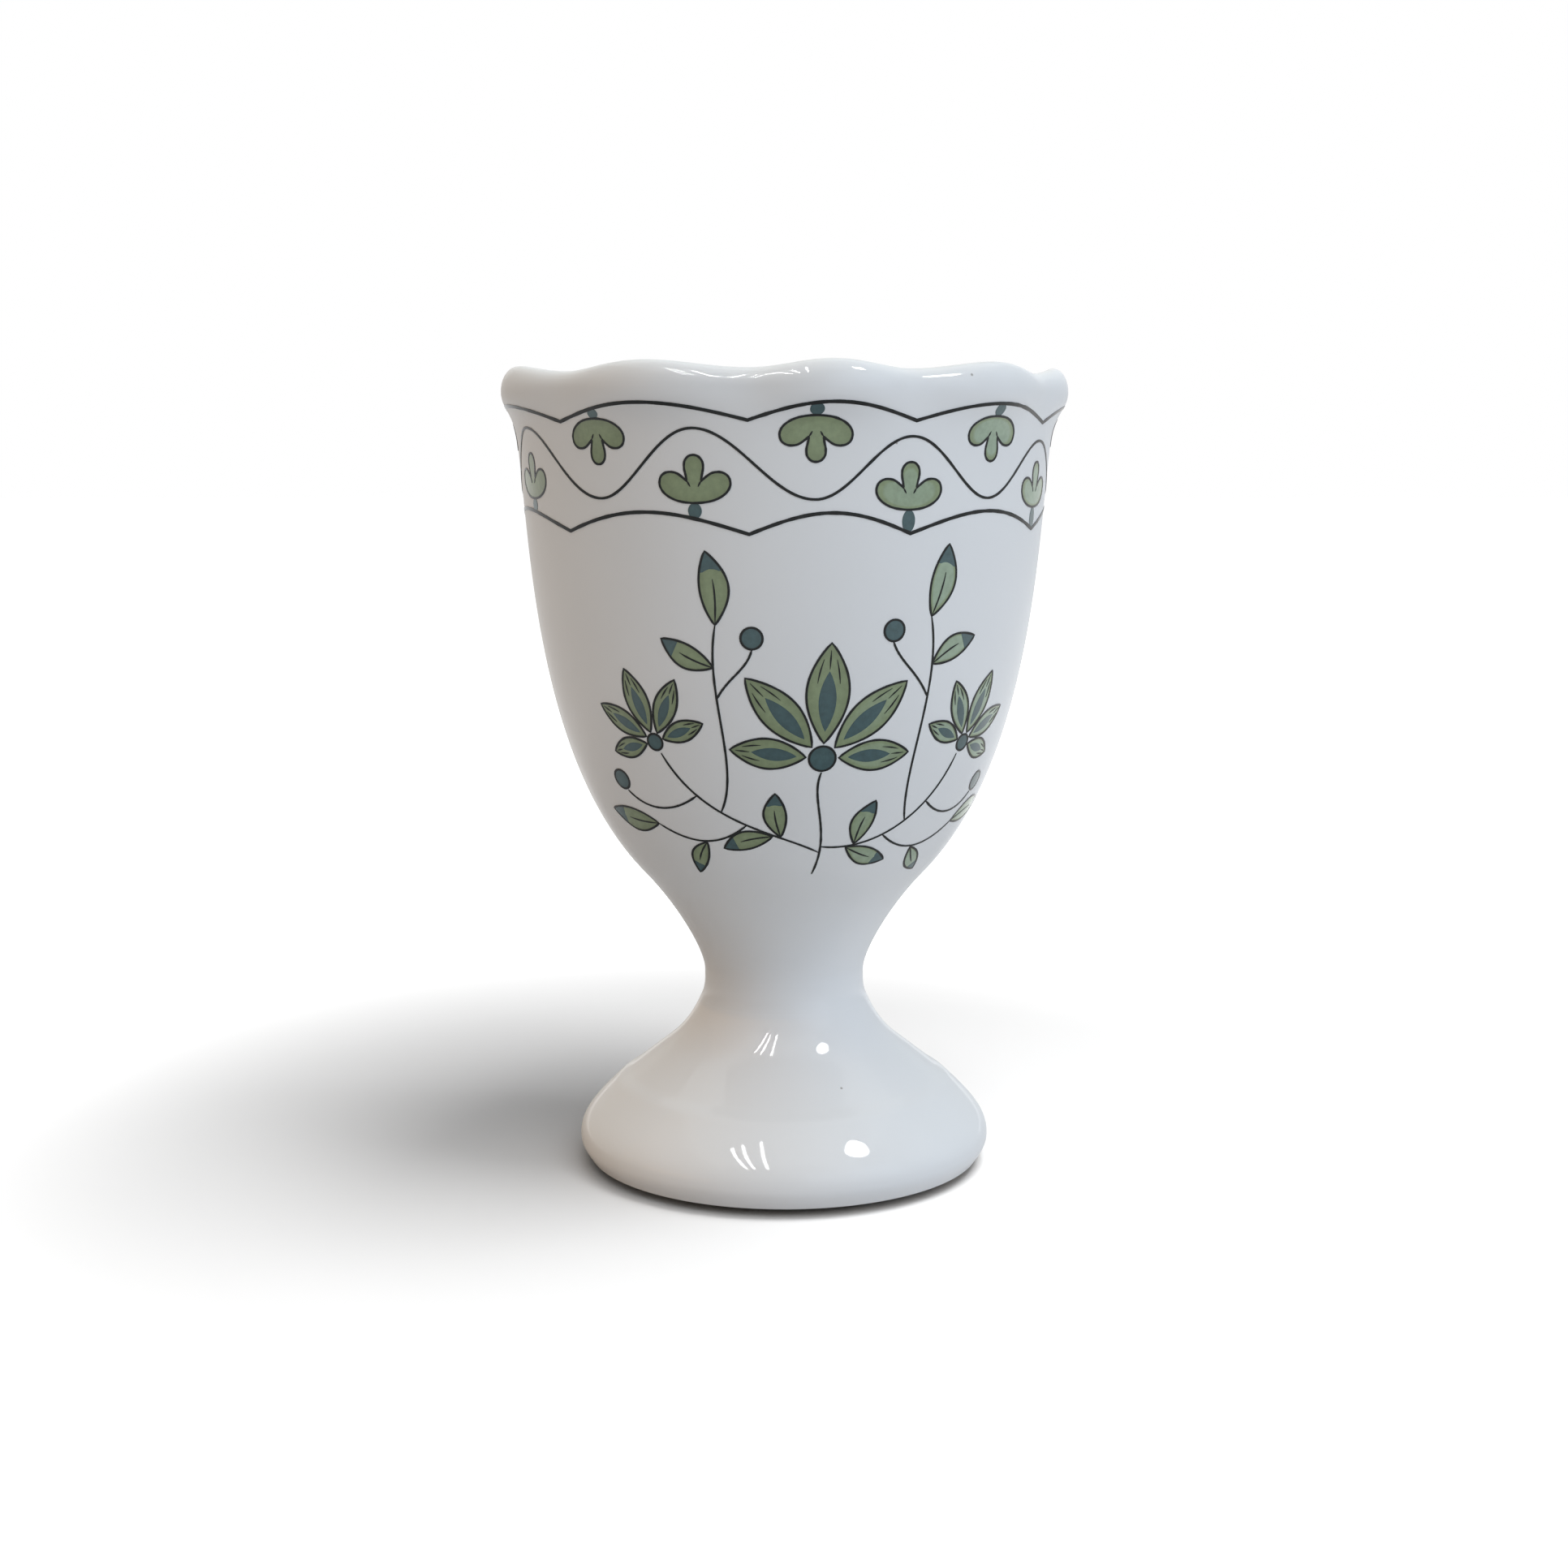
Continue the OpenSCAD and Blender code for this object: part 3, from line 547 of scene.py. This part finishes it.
class Print:
    """A printed layer: closed skins of hardly any depth that lie on the wall, gathered into one mesh."""

    def __init__(self, lift):
        self.lift = lift
        self.points, self.faces, self.flat, self.tones = [], [], [], []
        self.count = 0

    def put(self, spots, lift, tones):
        """Adds points over places on the wall, and says where they start."""
        r = wall_r(spots[:, 0], spots[:, 1]) + lift
        self.points.append(round_point(spots[:, 0], r, spots[:, 1]))
        self.tones.append(np.broadcast_to(tones, len(spots)))
        start = self.count
        self.count += len(spots)
        return start

    def side(self, face):
        """Adds a face that isn't smooth."""
        self.flat.append(len(self.faces))
        self.faces.append(face)

    def skin(self, middle, outline, rings=4):
        """A patch inside a closed outline, all of which its middle can see. The outline's points run
        anticlockwise as seen from outside."""
        n = len(outline)
        shares = (np.arange(rings) + 1) / rings
        loops = np.vstack([middle + (outline - middle) * s for s in shares])
        # Painted sheen: a patch's middle is paled by its angle round the cup, most on the right
        painted_sheen_share = np.interp(middle[0], PAINTED_SHEEN_ANGLES, PAINTED_SHEEN_SHARES)
        tones = (1 + np.concatenate([[0], np.repeat(shares, n)])) / 2
        tones[:-n] *= 1 - painted_sheen_share
        first = self.put(np.vstack([[middle], loops]), self.lift, tones)
        under = self.put(np.vstack([[middle], outline]), -SINK, 1)
        edge_loop = first + 1 + (rings - 1) * n
        for i in range(n):
            j = (i + 1) % n
            self.faces.append((first, first + 1 + i, first + 1 + j))
            for k in range(rings - 1):
                a = first + 1 + k * n
                self.faces.append((a + i, a + n + i, a + n + j, a + j))
            self.side((edge_loop + j, edge_loop + i, under + 1 + i, under + 1 + j))
            self.side((under, under + 1 + j, under + 1 + i))

    def line(self, path, width, seed, closed=False, taper=0.0):
        """A line along places on the wall. Its width wavers a little, as a hand-engraved line does,
        and the ends of an open line narrow to the share that taper gives."""
        path = np.asarray(path, float)
        # A line right round the cup ends one turn on from its start
        turn = 360 if closed and abs(path[-1, 0] - path[0, 0]) > 180 else 0
        before = np.vstack([path[-1:] - [turn, 0] if closed else path[:1], path[:-1]])
        after = np.vstack([path[1:], path[:1] + [turn, 0] if closed else path[-1:]])
        mid = (before + after) / 2
        lean = upright(mid[:, 1])
        along = np.stack([np.radians(after[:, 0] - before[:, 0]) * wall_r(mid[:, 0], mid[:, 1]),
                          (after[:, 1] - before[:, 1]) / lean], 1)
        across = np.stack([-along[:, 1], along[:, 0]], 1) / np.linalg.norm(along, axis=1)[:, None]
        count = len(path)
        wavers = [noise.noise(Vector((i * WAVER_STEP, seed, 0))) for i in range(count)]
        widths = width * (1 + WAVER_SHARE * np.array(wavers))
        if not closed and taper:
            ends = np.minimum(np.arange(count), np.arange(count)[::-1]) / TAPER_POINTS
            widths *= np.clip(taper + (1 - taper) * ends, 0, 1)
        sides = []
        for way in (1, -1):
            steps = across * (way * widths / 2)[:, None]
            angle = path[:, 0] + np.degrees(steps[:, 0] / wall_r(path[:, 0], path[:, 1]))
            sides.append(np.stack([angle, path[:, 1] + steps[:, 1] * upright(path[:, 1])], 1))
        left, right = self.put(sides[0], self.lift, 0), self.put(sides[1], self.lift, 0)
        left_in, right_in = self.put(sides[0], -SINK, 0), self.put(sides[1], -SINK, 0)
        for i in range(count if closed else count - 1):
            j = (i + 1) % count
            self.faces.append((right + i, right + j, left + j, left + i))
            self.side((left + i, left + j, left_in + j, left_in + i))
            self.side((right + j, right + i, right_in + i, right_in + j))
            self.side((left_in + i, left_in + j, right_in + j, right_in + i))
        if not closed:
            end = count - 1
            self.side((left, left_in, right_in, right))
            self.side((right + end, right_in + end, left_in + end, left + end))

    def build(self, name, node, slot, material):
        make_piece(name, np.vstack(self.points), self.faces, node, [material], self.flat,
                   tones=np.concatenate(self.tones))


def smooth_ring(corners, per_corner, sharp=()):
    """A closed curve through points (Catmull-Rom), which turns sharply at the numbered ones."""
    corners = np.asarray(corners, float)
    n, out = len(corners), []
    for i in range(n):
        a, b, c, d = (corners[(i + k) % n] for k in (-1, 0, 1, 2))
        start = (c - a) / 2 if i not in sharp else (c - b) / 2
        stop = (d - b) / 2 if (i + 1) % n not in sharp else (c - b) / 2
        out.append(bez(b, b + start / 3, c - stop / 3, c, per_corner)[:-1])
    return np.vstack(out)


def oval(rx, ry, steps):
    """Outline of an oval round a place, anticlockwise."""
    turn = np.linspace(0, 2 * np.pi, steps, endpoint=False)
    return np.stack([np.cos(turn) * rx, np.sin(turn) * ry], 1)


# Border

LINE_W, WAVE_W, THIN_W = 0.28, 0.21, 0.18
VEIN_TAPER = 0.3
UPPER_DROP, BAND_H, TROUGH_GAP, CREST_GAP = 4.55, 8.45, 2.6, 0.4
UPPER_Z, UPPER_RISE = CUP_H - UPPER_DROP, 1.35
LOWER_Z, LOWER_RISE = UPPER_Z - BAND_H, 1.6
TROUGH_Z, CREST_Z = LOWER_Z + TROUGH_GAP, UPPER_Z - CREST_GAP
TREFOIL_W, TREFOIL_H = 5.6, 3.6
BUD_GAP, BUD_W = 0.95, 1.1
# How far the leaves follow the scallops' height
FOLLOW_SHARE = 0.5
# Widths of the half waves, from the first crest, as shares of their mean, and the crests' heights
WAVE_SHARES = [1.18, 0.98, 1.07, 0.87, 0.91, 0.91, 1, 1.02, 1, 1, 1.02, 1.02, 1, 1, 1.02, 1]
WAVE_START = -66.5
CREST_SHARES = [1, 0.97, 0.86, 0.81, 0.88, 0.93, 0.97, 0.99]
WAVES = len(WAVE_SHARES)
WAVE_EDGES = WAVE_START + np.concatenate([[0], np.cumsum(WAVE_SHARES)]) * 360 / WAVES
SCALLOP_STEPS, WAVE_STEPS, LEAF_STEPS, VEIN_STEPS, BUD_STEPS = 48, 30, 5, 5, 24
UPPER_SEED, LOWER_SEED, WAVE_SEED, TREFOIL_SEED, VEIN_SEED = 1, 2, 3, 10, 30

border_lines, border_fills, border_teal = Print(BLACK_LIFT), Print(GREEN_LIFT), Print(TEAL_LIFT)


def scallop_z(cusp_z, rise, angle):
    """Height of a scalloped line, whose cusps are in the lip's notches."""
    return cusp_z + rise * bulge(lobe_share(angle))


def scallop(cusp_z, rise):
    """A scalloped line all the way round, a lobe at a time."""
    angles = np.concatenate([np.linspace(a, b, SCALLOP_STEPS, endpoint=False)
                             for a, b in zip(LOBE_EDGES[:-1], LOBE_EDGES[1:])])
    return np.stack([angles, scallop_z(cusp_z, rise, angles)], 1)


def wave():
    """The wavy line between the scalloped ones, a half wave at a time."""
    out = []
    for i in range(WAVES):
        share = np.linspace(0, 1, WAVE_STEPS, endpoint=False)
        falls = i % 2 == 0
        crest = TROUGH_Z + (CREST_Z - TROUGH_Z) * CREST_SHARES[((i if falls else i + 1) % WAVES) // 2]
        up = (1 + np.cos(np.pi * (share if falls else 1 - share))) / 2
        out.append(np.stack([WAVE_EDGES[i] + (WAVE_EDGES[i + 1] - WAVE_EDGES[i]) * share,
                             TROUGH_Z + (crest - TROUGH_Z) * up], 1))
    return np.vstack(out)


border_lines.line(scallop(UPPER_Z, UPPER_RISE), LINE_W, UPPER_SEED, closed=True)
border_lines.line(scallop(LOWER_Z, LOWER_RISE), LINE_W, LOWER_SEED, closed=True)
border_lines.line(wave(), WAVE_W, WAVE_SEED, closed=True)

# Right half of a three-lobed leaf that grows upwards, in shares of half its width and of its height
TREFOIL = np.array([[0.4, 0.03], [0.68, 0.105], [0.88, 0.215], [0.98, 0.34], [0.99, 0.46], [0.92, 0.575],
                    [0.74, 0.645], [0.48, 0.62], [0.2, 0.46], [0.225, 0.58], [0.265, 0.73], [0.245, 0.87],
                    [0.14, 0.97]])
TREFOIL_RING = np.vstack([[[0, 0]], TREFOIL, [[0, 1]], TREFOIL[::-1] * [-1, 1]])
TREFOIL_MIDDLE = 0.33
# The number in the ring of the notch between two lobes, and where the vein from there ends
LEAF_NOTCH, VEIN_END = 9, [0.11, 0.34]
SHARP = LEAF_NOTCH, len(TREFOIL_RING) - LEAF_NOTCH
# The leaves' widths and heights vary by this share, over steps along two rows of a noise
VARY_SHARE, VARY_STEP, VARY_ROWS = 0.03, 1.7, (0, 5)

for i in range(WAVES):
    way = 1 if i % 2 == 0 else -1
    cusp_z, rise = (LOWER_Z, LOWER_RISE) if way == 1 else (UPPER_Z, UPPER_RISE)
    line_z = float(scallop_z(cusp_z, rise, WAVE_EDGES[i]))
    base_z = line_z * FOLLOW_SHARE + (cusp_z + rise) * (1 - FOLLOW_SHARE) + way * BUD_GAP
    base = np.array([WAVE_EDGES[i], base_z])
    size = [TREFOIL_W / 2, TREFOIL_H]
    wobble = [1 + VARY_SHARE * noise.noise(Vector((i * VARY_STEP, row, 0))) for row in VARY_ROWS]
    outline = laid(base, smooth_ring(TREFOIL_RING, LEAF_STEPS, SHARP) * size * wobble * way)
    border_fills.skin(laid(base, [0, way * TREFOIL_MIDDLE * TREFOIL_H])[0], outline)
    border_lines.line(outline, THIN_W, TREFOIL_SEED + i, closed=True)
    for side in (1, -1):
        vein_ends = np.array([TREFOIL_RING[LEAF_NOTCH], VEIN_END]) * [side, 1] * size
        vein = np.linspace(*vein_ends, VEIN_STEPS + 1)
        border_lines.line(laid(base, vein * way), THIN_W, VEIN_SEED + i, taper=VEIN_TAPER)
    bud_middle = np.array([base[0], (base_z + line_z) / 2])
    bud_h = abs(base_z - line_z) / float(upright(base_z))
    border_teal.skin(bud_middle, laid(bud_middle, oval(BUD_W / 2, bud_h / 2, BUD_STEPS)), rings=2)

border_lines.build("border_lines", "border_outline", "black_enamel", black)
border_fills.build("border_leaf_fills", "border_leaves", "green_enamel", green)
border_teal.build("border_bud_fills", "border_buds", "teal_enamel", teal)

# Spray

SPRAY_W, SPRAY_ANGLE, SPRAY_Z, SPRAY_GAP = 40, 8, 27.6, 0.4
SPRAY_LINE_W, RIB_W, PETAL_LINE_W = 0.18, 0.144, 0.126
LEAF_L, LEAF_W = 6, 2.4
PETAL_L, PETAL_W = 8.2, 3.2
CALYX_R, BERRY_R = 1.05, 0.85
# A blade's width follows this power of a sine
BLADE_POWER = 0.85
# A leaf's bend and its dark tip's width, as shares of its width, and as shares of its length: where the
# tip starts and its middle is, and how long the rib is
BEND_SHARE, TIP_W_SHARE = 0.14, 0.98
TIP_START_SHARE, TIP_MIDDLE_SHARE, RIB_SHARE = 0.72, 0.82, 0.62
# A petal's dark mark, as shares of the petal's length and width, and where it starts
MARK_L_SHARE, MARK_W_SHARE, MARK_START_SHARE = 0.6, 0.42, 0.12
# Lines near a petal's tip: side, start and end as shares of its length, and how far out they lie as a
# share of its width
PETAL_LINES, PETAL_LINE_SHARE = [(-1, 0.6, 0.84), (0, 0.74, 0.93), (1, 0.6, 0.84)], 0.27
STALK_TAPER = 0.5
STALK_STEPS, BLADE_STEPS, TIP_STEPS, MARK_STEPS, BALL_STEPS = 60, 22, 10, 14, 28
RIB_POINTS, PETAL_LINE_POINTS = 14, 8
STALK_SEED, LEAF_SEED, BLOOM_SEED, CALYX_SEED, BERRY_SEED = 60, 80, 100, 130, 140
BLOOM_SEED_STEP = 7
# Stalks: four points of a curve each, in shares of half the spray's width and of its height
STALKS = [
    [[0.02, 0], [0.1, 0.14], [-0.03, 0.26], [0.02, 0.355]],
    [[0.04, 0.08], [-0.2, 0.16], [-0.52, 0.18], [-0.66, 0.405]],
    [[0.05, 0.1], [0.25, 0.08], [0.58, 0.14], [0.68, 0.385]],
    [[-0.31, 0.175], [-0.44, 0.1], [-0.6, 0.09], [-0.78, 0.16]],
    [[0.366, 0.131], [0.5, 0.06], [0.68, 0.05], [0.86, 0.14]],
    [[-0.422, 0.217], [-0.3, 0.36], [-0.44, 0.6], [-0.38, 0.82]],
    [[0.473, 0.173], [0.36, 0.34], [0.5, 0.6], [0.42, 0.84]],
    [[-0.39, 0.587], [-0.34, 0.66], [-0.27, 0.68], [-0.25, 0.745]],
    [[0.443, 0.585], [0.38, 0.67], [0.3, 0.7], [0.27, 0.765]],
    [[-0.525, 0.27], [-0.66, 0.2], [-0.82, 0.2], [-0.91, 0.265]],
    [[0.568, 0.234], [0.7, 0.16], [0.86, 0.17], [0.93, 0.235]],
]
# Leaves and blooms: place as the stalks', lean in degrees, and size as a share of the largest
LEAVES = [
    [-0.151, 0.137, -5, 0.7], [-0.19, 0.138, -108, 0.72], [0.219, 0.106, 14, 0.72], [0.18, 0.094, 112, 0.72],
    [-0.78, 0.16, -82, 0.9], [-0.526, 0.109, -152, 0.62], [0.86, 0.14, 78, 0.9], [0.596, 0.07, 138, 0.6],
    [-0.396, 0.687, -62, 0.78], [-0.38, 0.82, -6, 0.95], [0.446, 0.69, 64, 0.78], [0.42, 0.84, 12, 0.95],
]
BLOOMS = [[0.02, 0.4, 2, 1], [-0.68, 0.44, -18, 0.66], [0.7, 0.42, 20, 0.66]]
# Petals: lean from the bloom's, and length and width as shares of the largest
PETALS = [[0, 1, 1], [-43, 0.92, 0.9], [43, 0.92, 0.9], [-86, 0.72, 0.8], [86, 0.72, 0.8]]
BERRIES = [[-0.25, 0.78], [0.27, 0.8], [-0.93, 0.3], [0.95, 0.27]]
# The petals start this many calyx radii from a bloom's middle
PETAL_START = 1.25

spray_h = (LOWER_Z - SPRAY_GAP - LEAF_L - SPRAY_Z) / max(leaf[1] for leaf in LEAVES)
spray_r = float(wall_r(0, SPRAY_Z + spray_h / 2))
spray_lines, spray_fills, spray_teal = Print(BLACK_LIFT), Print(GREEN_LIFT), Print(TEAL_LIFT)


def in_spray(share):
    """Places on the wall from shares of half the spray's width and of its height."""
    share = np.asarray(share, float)
    return np.stack([SPRAY_ANGLE + np.degrees(share[..., 0] * SPRAY_W / 2 / spray_r),
                     SPRAY_Z + share[..., 1] * spray_h], -1)


def leaned(steps, lean):
    """Flat steps turned by a lean from the vertical."""
    a = np.radians(lean)
    steps = np.atleast_2d(steps)
    return np.stack([steps[:, 0] * np.cos(a) + steps[:, 1] * np.sin(a),
                     steps[:, 1] * np.cos(a) - steps[:, 0] * np.sin(a)], 1)


def blade(length, width, steps=BLADE_STEPS, start=0, bend=0):
    """Outline of a pointed blade that grows upwards from its foot, anticlockwise, or of its tip from a
    share of its length. Bend moves its middle sideways."""
    share = np.linspace(start, 1, steps + 1)
    half = width / 2 * np.sin(np.pi * share) ** BLADE_POWER
    shift = bend * np.sin(np.pi * share)
    right = np.stack([shift + half, length * share], 1)
    left = np.stack([shift - half, length * share], 1)[::-1]
    # Both sides share the tip, and of a whole blade they share the foot too
    return np.vstack([right, left[1:]])[: None if start else -1]


def draw_leaf(foot, lean, length, width, seed):
    """A slightly bent leaf with a dark tip, an outline and a rib."""
    def place(steps):
        return laid(foot, leaned(steps, lean))

    bend = width * BEND_SHARE * (1 if seed % 2 else -1)
    outline = place(blade(length, width, bend=bend))
    spray_fills.skin(place([bend, length / 2])[0], outline)
    tip = place(blade(length, width * TIP_W_SHARE, TIP_STEPS, start=TIP_START_SHARE, bend=bend))
    spray_teal.skin(place([bend / 2, length * TIP_MIDDLE_SHARE])[0], tip, rings=2)
    spray_lines.line(outline, SPRAY_LINE_W, seed, closed=True)
    share = np.linspace(0, RIB_SHARE, RIB_POINTS)
    rib = np.stack([bend * np.sin(np.pi * share), length * share], 1)
    spray_lines.line(place(rib), RIB_W, seed + 1, taper=VEIN_TAPER)


def draw_petal(foot, lean, length, width, seed):
    """A petal with a dark mark near its foot, an outline and three fine lines near its tip."""
    def place(steps, start=foot):
        return laid(start, leaned(steps, lean))

    outline = place(blade(length, width))
    spray_fills.skin(place([0, length / 2])[0], outline)
    mark_l = length * MARK_L_SHARE
    mark_foot = place([0, length * MARK_START_SHARE])[0]
    mark = place(blade(mark_l, width * MARK_W_SHARE, MARK_STEPS), mark_foot)
    spray_teal.skin(place([0, mark_l / 2], mark_foot)[0], mark, rings=3)
    spray_lines.line(outline, SPRAY_LINE_W, seed, closed=True)
    for side, start, end in PETAL_LINES:
        share = np.linspace(start, end, PETAL_LINE_POINTS)
        out = side * width * PETAL_LINE_SHARE * np.sin(np.pi * share) ** BLADE_POWER
        petal_line = place(np.stack([out, length * share], 1))
        spray_lines.line(petal_line, PETAL_LINE_W, seed + side, taper=VEIN_TAPER)


def draw_ball(middle, r, seed):
    """A berry, or the heart of a bloom."""
    outline = laid(middle, oval(r, r, BALL_STEPS))
    spray_teal.skin(middle, outline, rings=3)
    spray_lines.line(outline, SPRAY_LINE_W, seed, closed=True)


for i, stalk_points in enumerate(STALKS):
    stalk = bez(*in_spray(stalk_points), STALK_STEPS)
    spray_lines.line(stalk, SPRAY_LINE_W, STALK_SEED + i, taper=STALK_TAPER)
for i, (x, y, lean, size) in enumerate(LEAVES):
    draw_leaf(in_spray([x, y]), lean, LEAF_L * size, LEAF_W * size, LEAF_SEED + i)
for i, (x, y, lean, size) in enumerate(BLOOMS):
    heart = in_spray([x, y])
    for k, (turned, length, width) in enumerate(PETALS):
        foot = laid(heart, aim(lean + turned, CALYX_R * PETAL_START * size))[0]
        seed = BLOOM_SEED + BLOOM_SEED_STEP * i + k
        draw_petal(foot, lean + turned, PETAL_L * size * length, PETAL_W * size * width, seed)
    draw_ball(heart, CALYX_R * size, CALYX_SEED + i)
for i, place in enumerate(BERRIES):
    draw_ball(in_spray(place), BERRY_R, BERRY_SEED + i)

spray_lines.build("spray_lines", "spray_outline", "black_enamel", black)
spray_fills.build("spray_leaf_fills", "spray_leaves", "green_enamel", green)
spray_teal.build("spray_accent_fills", "spray_accents", "teal_enamel", teal)

# Floor, light and camera

FLOOR_HALF = 3.0
# Distances from the cup's middle between which the floor fades, and its shades: as it lights things and as
# it is seen
FADE = 0.05, 0.14
FLOOR_DIM, FLOOR_SEEN = (0.41, 0.41, 0.41), (0.97, 0.97, 0.97)


def make_floor():
    """A plain white floor. To the camera it fades into plain white far from the cup."""
    mesh = bpy.data.meshes.new("floor")
    corners = [(x * FLOOR_HALF, y * FLOOR_HALF, 0) for x, y in ((-1, -1), (1, -1), (1, 1), (-1, 1))]
    mesh.from_pydata(corners, [], [(0, 1, 2, 3)])
    floor = bpy.data.objects.new("floor", mesh)
    bpy.context.scene.collection.objects.link(floor)
    n = Nodes("floor_white")
    seen = n.seen()
    n.link(n.mix(FLOOR_DIM, FLOOR_SEEN, seen), n.shader.inputs["Base Color"])
    length = n.add("ShaderNodeVectorMath", operation="LENGTH")
    n.link(n.coords(), length.inputs[0])
    far = n.add("ShaderNodeMapRange", interpolation_type="SMOOTHSTEP")
    n.link(length.outputs["Value"], far.inputs["Value"])
    far.inputs["From Min"].default_value, far.inputs["From Max"].default_value = FADE
    glow = n.add("ShaderNodeMath", operation="MULTIPLY")
    n.link(far.outputs["Result"], glow.inputs[0])
    n.link(seen, glow.inputs[1])
    n.link(glow.outputs["Value"], n.shader.inputs["Emission Strength"])
    mesh.materials.append(n.finish(Roughness=1.0, Specular_IOR_Level=0.0, Emission_Color=(*FULL, 1)))
    floor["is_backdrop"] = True
    return floor


def group(name, members):
    """A set of objects that a lamp may light alone."""
    collection = bpy.data.collections.new(name)
    for member in members:
        collection.objects.link(member)
    return collection


floor_only = group("floor_only", [make_floor()])
cup_only = group("cup_only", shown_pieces())
bowl_only = group("bowl_only", [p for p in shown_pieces() if p != foot_piece])
foot_only = group("foot_only", [foot_piece])

CUP_MIDDLE = Vector((0, 0, 0.035))
GROUND = Vector((0, 0, 0))


def lamp(name, place, size, level, on, colour=FULL, shape="RECTANGLE", aim_at=CUP_MIDDLE):
    """An area lamp that lights one group. Level is how bright it alone makes a white surface at aim_at
    that faces it, where white is 1."""
    data = bpy.data.lights.new(name, "AREA")
    data.shape = shape
    data.size, data.size_y = size
    data.color = colour
    place = Vector(place)
    way = aim_at - place
    data.energy = level * np.pi**2 * way.length_squared
    light = bpy.data.objects.new(name, data)
    light.location = place
    light.rotation_euler = way.to_track_quat("-Z", "Y").to_euler()
    light.light_linking.receiver_collection = on
    bpy.context.scene.collection.objects.link(light)
    return light


def toward(azimuth, elevation, distance, start=GROUND):
    """A place at an angle round the cup from the front, an angle above the horizon and a distance."""
    a, e = np.radians(azimuth), np.radians(elevation)
    step = Vector((np.cos(e) * np.sin(a), -np.cos(e) * np.cos(a), np.sin(e)))
    return start + step * distance


WHITE, COOL, WARM = (0.95, 1.0, 1.0), (0.77, 0.87, 1.0), (1.0, 0.6, 0.25)
# The room lights the cup from above, a window from the right and in front, and a warm lamp faintly from the
# left. Each is at one distance, and has its angle round the cup and above it, width, level and colour
ROOM_REACH = 1.0
ROOM_LAMPS = {
    "ceiling": (0, 90, 1.6, 0.98, WHITE),
    "window_front": (40, 12, 1.0, 0.51, COOL),
    "window_side": (75, 25, 1.2, 0.24, COOL),
    "room_left": (-75, 28, 1.0, 0.18, WARM),
    "room_back": (180, 40, 1.2, 0.12, WHITE),
}
for name, (azimuth, elevation, width, level, colour) in ROOM_LAMPS.items():
    place = toward(azimuth, elevation, ROOM_REACH, CUP_MIDDLE)
    lamp(name, place, (width, width), level, cup_only, colour)
# The pale table lights the bowl from below, where the floor's own bounce is left dim, and the foot's low
# left edge from the front
table = lamp("table", (0, -0.04, -0.3), size=(0.5, 0.5), level=0.27, on=bowl_only, colour=WHITE)
table.light_linking.blocker_collection = cup_only
lamp("table_left", toward(-60, 3, 0.5), size=(0.4, 0.1), level=0.08, on=foot_only, colour=WARM, aim_at=GROUND)
# The floor has its own two, which leave the cup's soft shadow on its left
lamp("floor_key", toward(72, 72, 0.6), size=(0.3, 0.3), level=0.72, on=floor_only, aim_at=GROUND)
lamp("floor_fill", toward(20, 48, 0.8), size=(0.75, 0.75), level=0.52, on=floor_only, aim_at=GROUND)

# How bright the highlight lamps are themselves, where white is 1
GLOW = 60


def shine(name, place, size, along=None, shape="RECTANGLE"):
    """A small bright lamp above the cup that shows only as a highlight in the glaze. Its length runs along
    a direction."""
    light = lamp(name, place, size, 1, cup_only, shape=shape)
    area = size[0] * size[1] * (np.pi / 4 if shape == "DISK" else 1)
    light.data.energy = GLOW * np.pi * area
    light.visible_diffuse = False
    if along is not None:
        back = (light.location - CUP_MIDDLE).normalized()
        long_way = (Vector(along) - back * Vector(along).dot(back)).normalized()
        light.rotation_euler = Matrix((long_way.cross(back), long_way, back)).transposed().to_euler()


# A round lamp on the right and three tubes on the left, which run from the front to the back
LAMP_H = 0.6
BULB_ANGLES, BULB_W = (62, 56), 0.11
TUBE_L, TUBE_W = 0.28, 0.016
TUBE_PLACES, TUBE_Y = (-0.24, -0.186, -0.1), -0.345
shine("bulb", toward(*BULB_ANGLES, LAMP_H), (BULB_W, BULB_W), shape="DISK")
for i, x in enumerate(TUBE_PLACES):
    shine(f"tube_{i}", (x, TUBE_Y, LAMP_H), (TUBE_W, TUBE_L), along=(0, 1, 0))

# How brightly the white surroundings light things. To the camera and in mirrors they are plain white
AMBIENT = 0.1
world = bpy.data.worlds.new("studio")
bpy.context.scene.world = world
sky = Nodes("studio", world)
strength = sky.add("ShaderNodeMapRange")
strength.inputs["To Min"].default_value = AMBIENT
sky.link(sky.seen(), strength.inputs["Value"])
sky.link(strength.outputs["Result"], sky.shader.inputs["Strength"])
sky.finish(Color=(*FULL, 1))

FOCAL_LENGTH, SENSOR_W = 51.305, 36
CAMERA_PLACE, CAMERA_TILT = (0, -0.190, 0.06093), 81.612
camera_data = bpy.data.cameras.new("camera")
camera_data.lens = FOCAL_LENGTH
camera_data.sensor_width = SENSOR_W
camera = bpy.data.objects.new("camera", camera_data)
camera.location = CAMERA_PLACE
camera.rotation_euler = (np.radians(CAMERA_TILT), 0, 0)
bpy.context.scene.collection.objects.link(camera)
bpy.context.scene.camera = camera
bpy.context.scene.view_settings.view_transform = "Standard"
